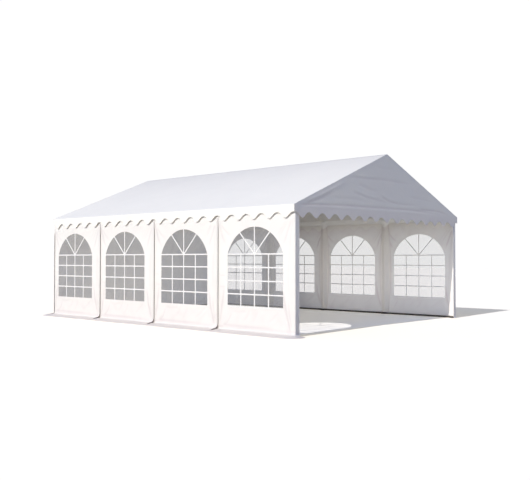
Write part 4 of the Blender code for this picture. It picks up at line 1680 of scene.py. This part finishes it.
@dataclass
class EaveStrip:
    """The strip of cloth inside an eave rail, from the roof down to the wall, with a tongue over each middle leg.

    Attributes:
        side: the side of the tent.
        half_length: half its length.
        swell: half width of the swelling round a leg's sleeve.
        tongue: how far a tongue hangs below the strip's edge.
    """

    side: Side
    half_length: float = 3.93
    swell: float = 0.115
    tongue: float = 0.105

    def build(self, wardrobe: Wardrobe) -> bpy.types.Object:
        """Its section goes from one line between two legs to another one over a leg, by a raised cosine.

        Args:
            wardrobe: the finishes.

        Returns:
            The piece.
        """
        between = Crease(((2.928, 2.4645), (2.941, 2.432), (2.947, 2.395), (2.970, 2.362), (2.9945, 2.338)), 1.0, 0.0)
        over = Crease(((2.846, 2.436), (2.885, 2.4215), (2.915, 2.410), (2.9385, 2.385), (2.9415, 2.345)), 1.0, 0.0)
        sections = np.stack([between.stations(24), over.stations(24)])
        y = np.linspace(-self.half_length, self.half_length, 394)
        near = np.min(np.abs(y[:, None] - np.array(LEG_YS[1:4])), axis=1)
        bell = (0.5 + 0.5 * np.cos(np.pi * np.clip(near / self.swell, 0, 1))) ** 0.85
        section = sections[0][:, None] * (1 - bell[:, None]) + sections[1][:, None] * bell[:, None]
        share = np.linspace(0, 1, 24)[:, None]
        hang = 0.5 + 0.5 * np.cos(np.pi * np.clip(near / 0.15, 0, 1))
        slack = 0.003 * np.sin(np.pi * share) * (1 - bell) * np.sin(9.0 * y) * np.sin(2.3 * y)
        x = section[..., 0] - slack
        z = section[..., 1] - self.tongue * hang * share**4 - 0.003 * share * np.sin(np.pi * y / BAY) ** 2
        points = np.stack([self.side.value * x, np.broadcast_to(y, x.shape), z], axis=-1)
        look = np.zeros((*x.shape, 3))
        look[..., 0], look[..., 2] = -self.side.value * 0.9, -0.4
        steps = np.linalg.norm(np.diff(points, axis=0), axis=-1)
        down = np.concatenate([0 * steps[:1], np.cumsum(steps, axis=0)])
        flat = np.stack([points[..., 1], -down], axis=-1)
        shade = np.zeros_like(x)
        edge = np.minimum(down[-1:] - down, down + 0.04)
        cloth = ClothGrid(f"eave_strip_{self.side.label}", points, look, flat, shade, edge, thickness=0.0016)
        piece = hand_over(cloth.build(wardrobe.lining))
        return piece


@dataclass
class SteelFrame:
    """The tubes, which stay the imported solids, their finishes, and the bolts in their sockets.

    Attributes:
        bolt_radius: radius of a bolt's head.
        head: how far the head stands out of the socket.
    """

    bolt_radius: float = 0.0075
    head: float = 0.007

    def dress(self, wardrobe: Wardrobe) -> None:
        """Gives every tube and rail its finish."""
        for name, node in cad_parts.items():
            if name.startswith(("leg_", "rafter_", "eave_rail", "ridge_rail")):
                node.data.materials.clear()
                node.data.materials.append(wardrobe.steel)
            elif name.startswith("ground_rail"):
                node.data.materials.clear()
                node.data.materials.append(wardrobe.paint)

    def bolt(self, foot: np.ndarray, axis: np.ndarray) -> tuple[np.ndarray, np.ndarray]:
        """A hexagon bolt's head on its washer: a stepped profile turned about the bolt's axis.

        Args:
            foot: the middle of the washer's underside.
            axis: the way the head points, of length 1.

        Returns:
            Its points and its faces.
        """
        profile = np.array(
            [(0.0, 0.0), (1.35, 0.0), (1.35, 0.18), (1.0, 0.20), (1.0, 0.85), (0.86, 1.0), (0.0, 1.0)]
        )
        turns = 2 * np.pi * np.arange(12) / 12
        hexed = np.where(profile[:, :1] == 1.0, 1 - 0.10 * (np.arange(12) % 2), 1.0)
        radius = profile[:, :1] * hexed * self.bolt_radius
        side = np.cross(axis, (0.0, 1.0, 0.0))
        side /= np.linalg.norm(side)
        other = np.cross(axis, side)
        ring = np.cos(turns)[:, None] * side + np.sin(turns)[:, None] * other
        points = foot + radius[..., None] * ring + (profile[:, 1] * self.head)[:, None, None] * axis
        index = np.arange(points.shape[0] * 12).reshape(-1, 12)
        quads = np.stack([index[:-1], np.roll(index[:-1], -1, 1), np.roll(index[1:], -1, 1), index[1:]], -1)
        return points.reshape(-1, 3), quads.reshape(-1, 4)

    def bolts(self, name: str, spots: list[tuple[tuple, tuple]], wardrobe: Wardrobe) -> bpy.types.Object:
        """Makes one piece of all the bolts of a rail.

        Args:
            name: the piece's name.
            spots: for each bolt its foot and its axis.
            wardrobe: the finishes.

        Returns:
            The piece.
        """
        points, faces, used = [], [], 0
        for foot, axis in spots:
            more, quads = self.bolt(np.array(foot, float), np.array(axis, float))
            points.append(more)
            faces.append(quads + used)
            used += len(more)
        piece = put_mesh(name, np.concatenate(points), np.concatenate(faces), wardrobe.steel, 30)
        weld_poles(piece)
        return hand_over(piece)

    def build(self, wardrobe: Wardrobe) -> None:
        """Dresses the tubes and adds two bolts at each joint of a rail, one in each socket."""
        self.dress(wardrobe)
        tilt = math.atan(ROOF_SLOPE)
        socket = 0.024
        for side in Side:
            sign = side.value
            spots = []
            for y in LEG_YS:
                spots.append(((sign * (FRAME_X - socket + 0.0005), y, EAVE_AXIS_Z - 0.085), (-sign, 0, 0)))
                reach = 0.085
                middle = (sign * (FRAME_X - reach * math.cos(tilt)), y, EAVE_AXIS_Z + reach * math.sin(tilt))
                below = (-sign * math.sin(tilt), 0, -math.cos(tilt))
                foot = tuple(m + (socket - 0.0005) * b for m, b in zip(middle, below))
                spots.append((foot, below))
            self.bolts(f"socket_bolts_{side.label}", spots, wardrobe)
        spots = []
        for y in LEG_YS:
            for side in Side:
                sign, reach = side.value, 0.085
                middle = (sign * reach * math.cos(tilt), y, RIDGE_AXIS_Z - reach * math.sin(tilt))
                below = (-sign * math.sin(tilt), 0, -math.cos(tilt))
                foot = tuple(m + (socket - 0.0005) * b for m, b in zip(middle, below))
                spots.append((foot, below))
        self.bolts("socket_bolts_ridge", spots, wardrobe)


def weld_poles(piece: bpy.types.Object) -> None:
    """Merges the points that meet at a turned shape's poles, and makes its faces look outwards."""
    import bmesh

    shape = bmesh.new()
    shape.from_mesh(piece.data)
    bmesh.ops.remove_doubles(shape, verts=shape.verts, dist=1e-6)
    bmesh.ops.recalc_face_normals(shape, faces=shape.faces)
    shape.to_mesh(piece.data)
    shape.free()


@dataclass
class Studio:
    """The pale floor, the key light, the soft sky and the camera.

    Attributes:
        sun_direction: the way the key light travels.
        sun_colour: radiance of a white surface that faces the key light.
        sun_angle: how wide the key light looks, in degrees, which softens its shadows.
        sky_colour: radiance of the soft light from all round.
        floor_colour: share of light that the floor gives back to the tent.
        floor_seen: share of light that the floor sends to the camera.
        floor_seen_inside: the same inside the tent, higher, which brightens the patches of sun there.
        lift_outside: light that the camera sees on the floor besides, outside the tent.
        lift_inside: the same inside the tent, lower, a painted shade on the floor under the tent.
        boxes: soft boxes inside the tent, which the camera doesn't see: their place, facing, width and height,
            power in watts and spread in degrees.
        camera_place: the camera's place.
        heading: the way it looks in plan, counter-clockwise from +X, in degrees.
        pitch: how far it looks up, in degrees.
        focal_pixels: its focal length in pixels of a picture 530 wide.
    """

    sun_direction: tuple[float, float, float] = (1.45, 0.100, -1.0)
    sun_colour: tuple[float, float, float] = (1.32, 1.27, 1.19)
    sun_angle: float = 0.35
    sky_colour: tuple[float, float, float] = (0.16, 0.24, 0.47)
    floor_colour: tuple[float, float, float] = (0.66, 0.63, 0.54)
    floor_seen: tuple[float, float, float] = (0.783, 0.771, 0.784)
    floor_seen_inside: tuple[float, float, float] = (0.98, 0.965, 0.96)
    lift_outside: tuple[float, float, float] = (0.332, 0.280, 0.126)
    lift_inside: tuple[float, float, float] = (0.195, 0.185, 0.150)
    boxes: tuple[tuple[tuple, tuple, tuple, float, float], ...] = (
        ((-2.75, -2.3, 0.75), (1, 0, 0.015), (6.0, 0.9), 19.8, 41.0),
        ((-0.9, 0.6, 0.8), (0, 1, 0), (4.4, 0.9), 2.7, 60.0),
    )
    box_colour: tuple[float, float, float] = (1.0, 0.986, 0.995)
    camera_place: tuple[float, float, float] = (-13.317, -12.704, 1.4285)
    heading: float = 42.476
    pitch: float = 1.434
    focal_pixels: float = 742.24

    def build(self) -> None:
        """Sets up the whole studio."""
        self.add_camera()
        self.add_sun()
        self.add_boxes()
        self.add_sky()
        self.add_floor()
        bpy.context.scene.view_settings.view_transform = "Standard"

    def add_camera(self) -> None:
        """Puts the camera where the photograph's stood."""
        data = bpy.data.cameras.new("camera")
        data.sensor_width = 36.0
        data.lens = self.focal_pixels / 530 * data.sensor_width
        data.clip_end = 500.0
        camera = bpy.data.objects.new("camera", data)
        camera.location = self.camera_place
        turn, up = math.radians(self.heading), math.radians(self.pitch)
        look = Vector((math.cos(turn) * math.cos(up), math.sin(turn) * math.cos(up), math.sin(up)))
        camera.rotation_mode = "QUATERNION"
        camera.rotation_quaternion = look.to_track_quat("-Z", "Y")
        bpy.context.scene.collection.objects.link(camera)
        bpy.context.scene.camera = camera

    def add_sun(self) -> None:
        """Adds the key light: a sun lamp, whose strength is pi times the radiance that it gives."""
        data = bpy.data.lights.new("key_light", "SUN")
        peak = max(self.sun_colour)
        data.energy = math.pi * peak
        data.color = [c / peak for c in self.sun_colour]
        data.angle = math.radians(self.sun_angle)
        sun = bpy.data.objects.new("key_light", data)
        sun.rotation_mode = "QUATERNION"
        sun.rotation_quaternion = Vector(self.sun_direction).to_track_quat("-Z", "Y")
        sun.location = (-10, -2, 8)
        bpy.context.scene.collection.objects.link(sun)

    def add_boxes(self) -> None:
        """Adds the soft boxes for the bright inside: one faces the right wall, the other the back wall."""
        for number, (place, facing, size, power, spread) in enumerate(self.boxes, 1):
            data = bpy.data.lights.new(f"soft_box_{number}", "AREA")
            data.shape = "RECTANGLE"
            data.size, data.size_y = size
            data.energy = power
            data.color = self.box_colour
            data.spread = math.radians(spread)
            box = bpy.data.objects.new(f"soft_box_{number}", data)
            box.location = place
            box.rotation_mode = "QUATERNION"
            box.rotation_quaternion = Vector(facing).to_track_quat("-Z", "Y")
            box.visible_camera = False
            box.visible_glossy = False
            bpy.context.scene.collection.objects.link(box)

    def add_sky(self) -> None:
        """Adds an even sky: its own colour as a light, and plain white as the picture's ground."""
        world = bpy.data.worlds.new("sky")
        bpy.context.scene.world = world
        world.use_nodes = True
        tree = world.node_tree
        tree.nodes.clear()
        light = add_node(tree, "ShaderNodeBackground", {"Color": (*self.sky_colour, 1.0), "Strength": 1.0})
        white = add_node(tree, "ShaderNodeBackground", {"Color": (1, 1, 1, 1), "Strength": 1.02})
        seen = add_node(tree, "ShaderNodeLightPath").outputs["Is Camera Ray"]
        both = add_node(tree, "ShaderNodeMixShader", {"Fac": seen, 1: light.outputs[0], 2: white.outputs[0]})
        output = add_node(tree, "ShaderNodeOutputWorld")
        tree.links.new(both.outputs[0], output.inputs["Surface"])

    def add_floor(self) -> None:
        """Adds a plain pale floor, which is seen brighter than it lights the tent, like a lit backdrop."""
        reach = 90.0
        points = np.array([(-reach, -reach, 0), (reach, -reach, 0), (reach, reach, 0), (-reach, reach, 0)])
        material, tree, output = new_material("studio_floor_matt")
        plain = add_node(tree, "ShaderNodeBsdfDiffuse", {"Color": (*self.floor_colour, 1.0)})
        here = add_node(tree, "ShaderNodeTexCoord").outputs["Object"]
        apart = add_node(tree, "ShaderNodeSeparateXYZ", {0: here})
        masks = []
        for axis, half, soft in (("X", HALF_WIDTH - 0.02, 0.02), ("Y", HALF_LENGTH - 0.4, 0.4)):
            size = add_node(tree, "ShaderNodeMath", {0: apart.outputs[axis]}, operation="ABSOLUTE")
            masks.append(
                add_node(
                    tree,
                    "ShaderNodeMapRange",
                    {"Value": size.outputs[0], "From Min": half, "From Max": half + soft, "To Min": 1.0, "To Max": 0.0},
                )
            )
        # Inside the tent's footprint the floor gets less lift and sends more of its light: a painted shade under the
        # tent, with brighter patches of sun.
        indoors = add_node(
            tree, "ShaderNodeMath", {0: masks[0].outputs[0], 1: masks[1].outputs[0]}, operation="MULTIPLY"
        )
        lift = add_node(tree, "ShaderNodeMix", {"Factor": indoors.outputs[0]}, data_type="RGBA")
        lift.inputs["A"].default_value = (*self.lift_outside, 1.0)
        lift.inputs["B"].default_value = (*self.lift_inside, 1.0)
        shown = add_node(tree, "ShaderNodeMix", {"Factor": indoors.outputs[0]}, data_type="RGBA")
        shown.inputs["A"].default_value = (*self.floor_seen, 1.0)
        shown.inputs["B"].default_value = (*self.floor_seen_inside, 1.0)
        pale = add_node(tree, "ShaderNodeBsdfDiffuse", {"Color": shown.outputs["Result"]})
        lit = add_node(tree, "ShaderNodeEmission", {"Color": lift.outputs["Result"], "Strength": 1.0})
        bright = add_node(tree, "ShaderNodeAddShader", {0: pale.outputs[0], 1: lit.outputs[0]})
        seen = add_node(tree, "ShaderNodeLightPath").outputs["Is Camera Ray"]
        both = add_node(tree, "ShaderNodeMixShader", {"Fac": seen, 1: plain.outputs[0], 2: bright.outputs[0]})
        tree.links.new(both.outputs[0], output.inputs["Surface"])
        floor = put_mesh("studio_floor", points, [[0, 1, 2, 3]], material)


def corners(box: tuple[Vector, Vector]) -> list[list[float]]:
    """A box's two corners as plain lists."""
    return [list(corner) for corner in box]


def main() -> None:
    logging.basicConfig(level=logging.INFO, format="%(message)s")
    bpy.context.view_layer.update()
    studio = Studio()
    studio.build()
    wardrobe = Wardrobe()
    RoofCover().build(wardrobe)
    GableSheet("gable_sheet_front", "gable_front", -1, FRONT_CREASES, 21).build(wardrobe)
    GableSheet("gable_sheet_back", "gable_back", 1, REAR_CREASES, 33).build(wardrobe)
    for side in Side:
        for number in range(1, len(WINDOW_MIDDLES) + 1):
            wall = SideWall(side, number)
            wall.build(wardrobe)
            window = WindowUnit(wall)
            window.film(wardrobe)
            window.bars(wardrobe)
    BackWall().build(wardrobe)
    for side in Side:
        for number in (2, 3, 4):
            LegSleeve(side, number).build(wardrobe)
            RafterSleeve(side, number).build(wardrobe)
        EaveStrip(side).build(wardrobe)
    SteelFrame().build(wardrobe)


if __name__ == "__main__":
    main()
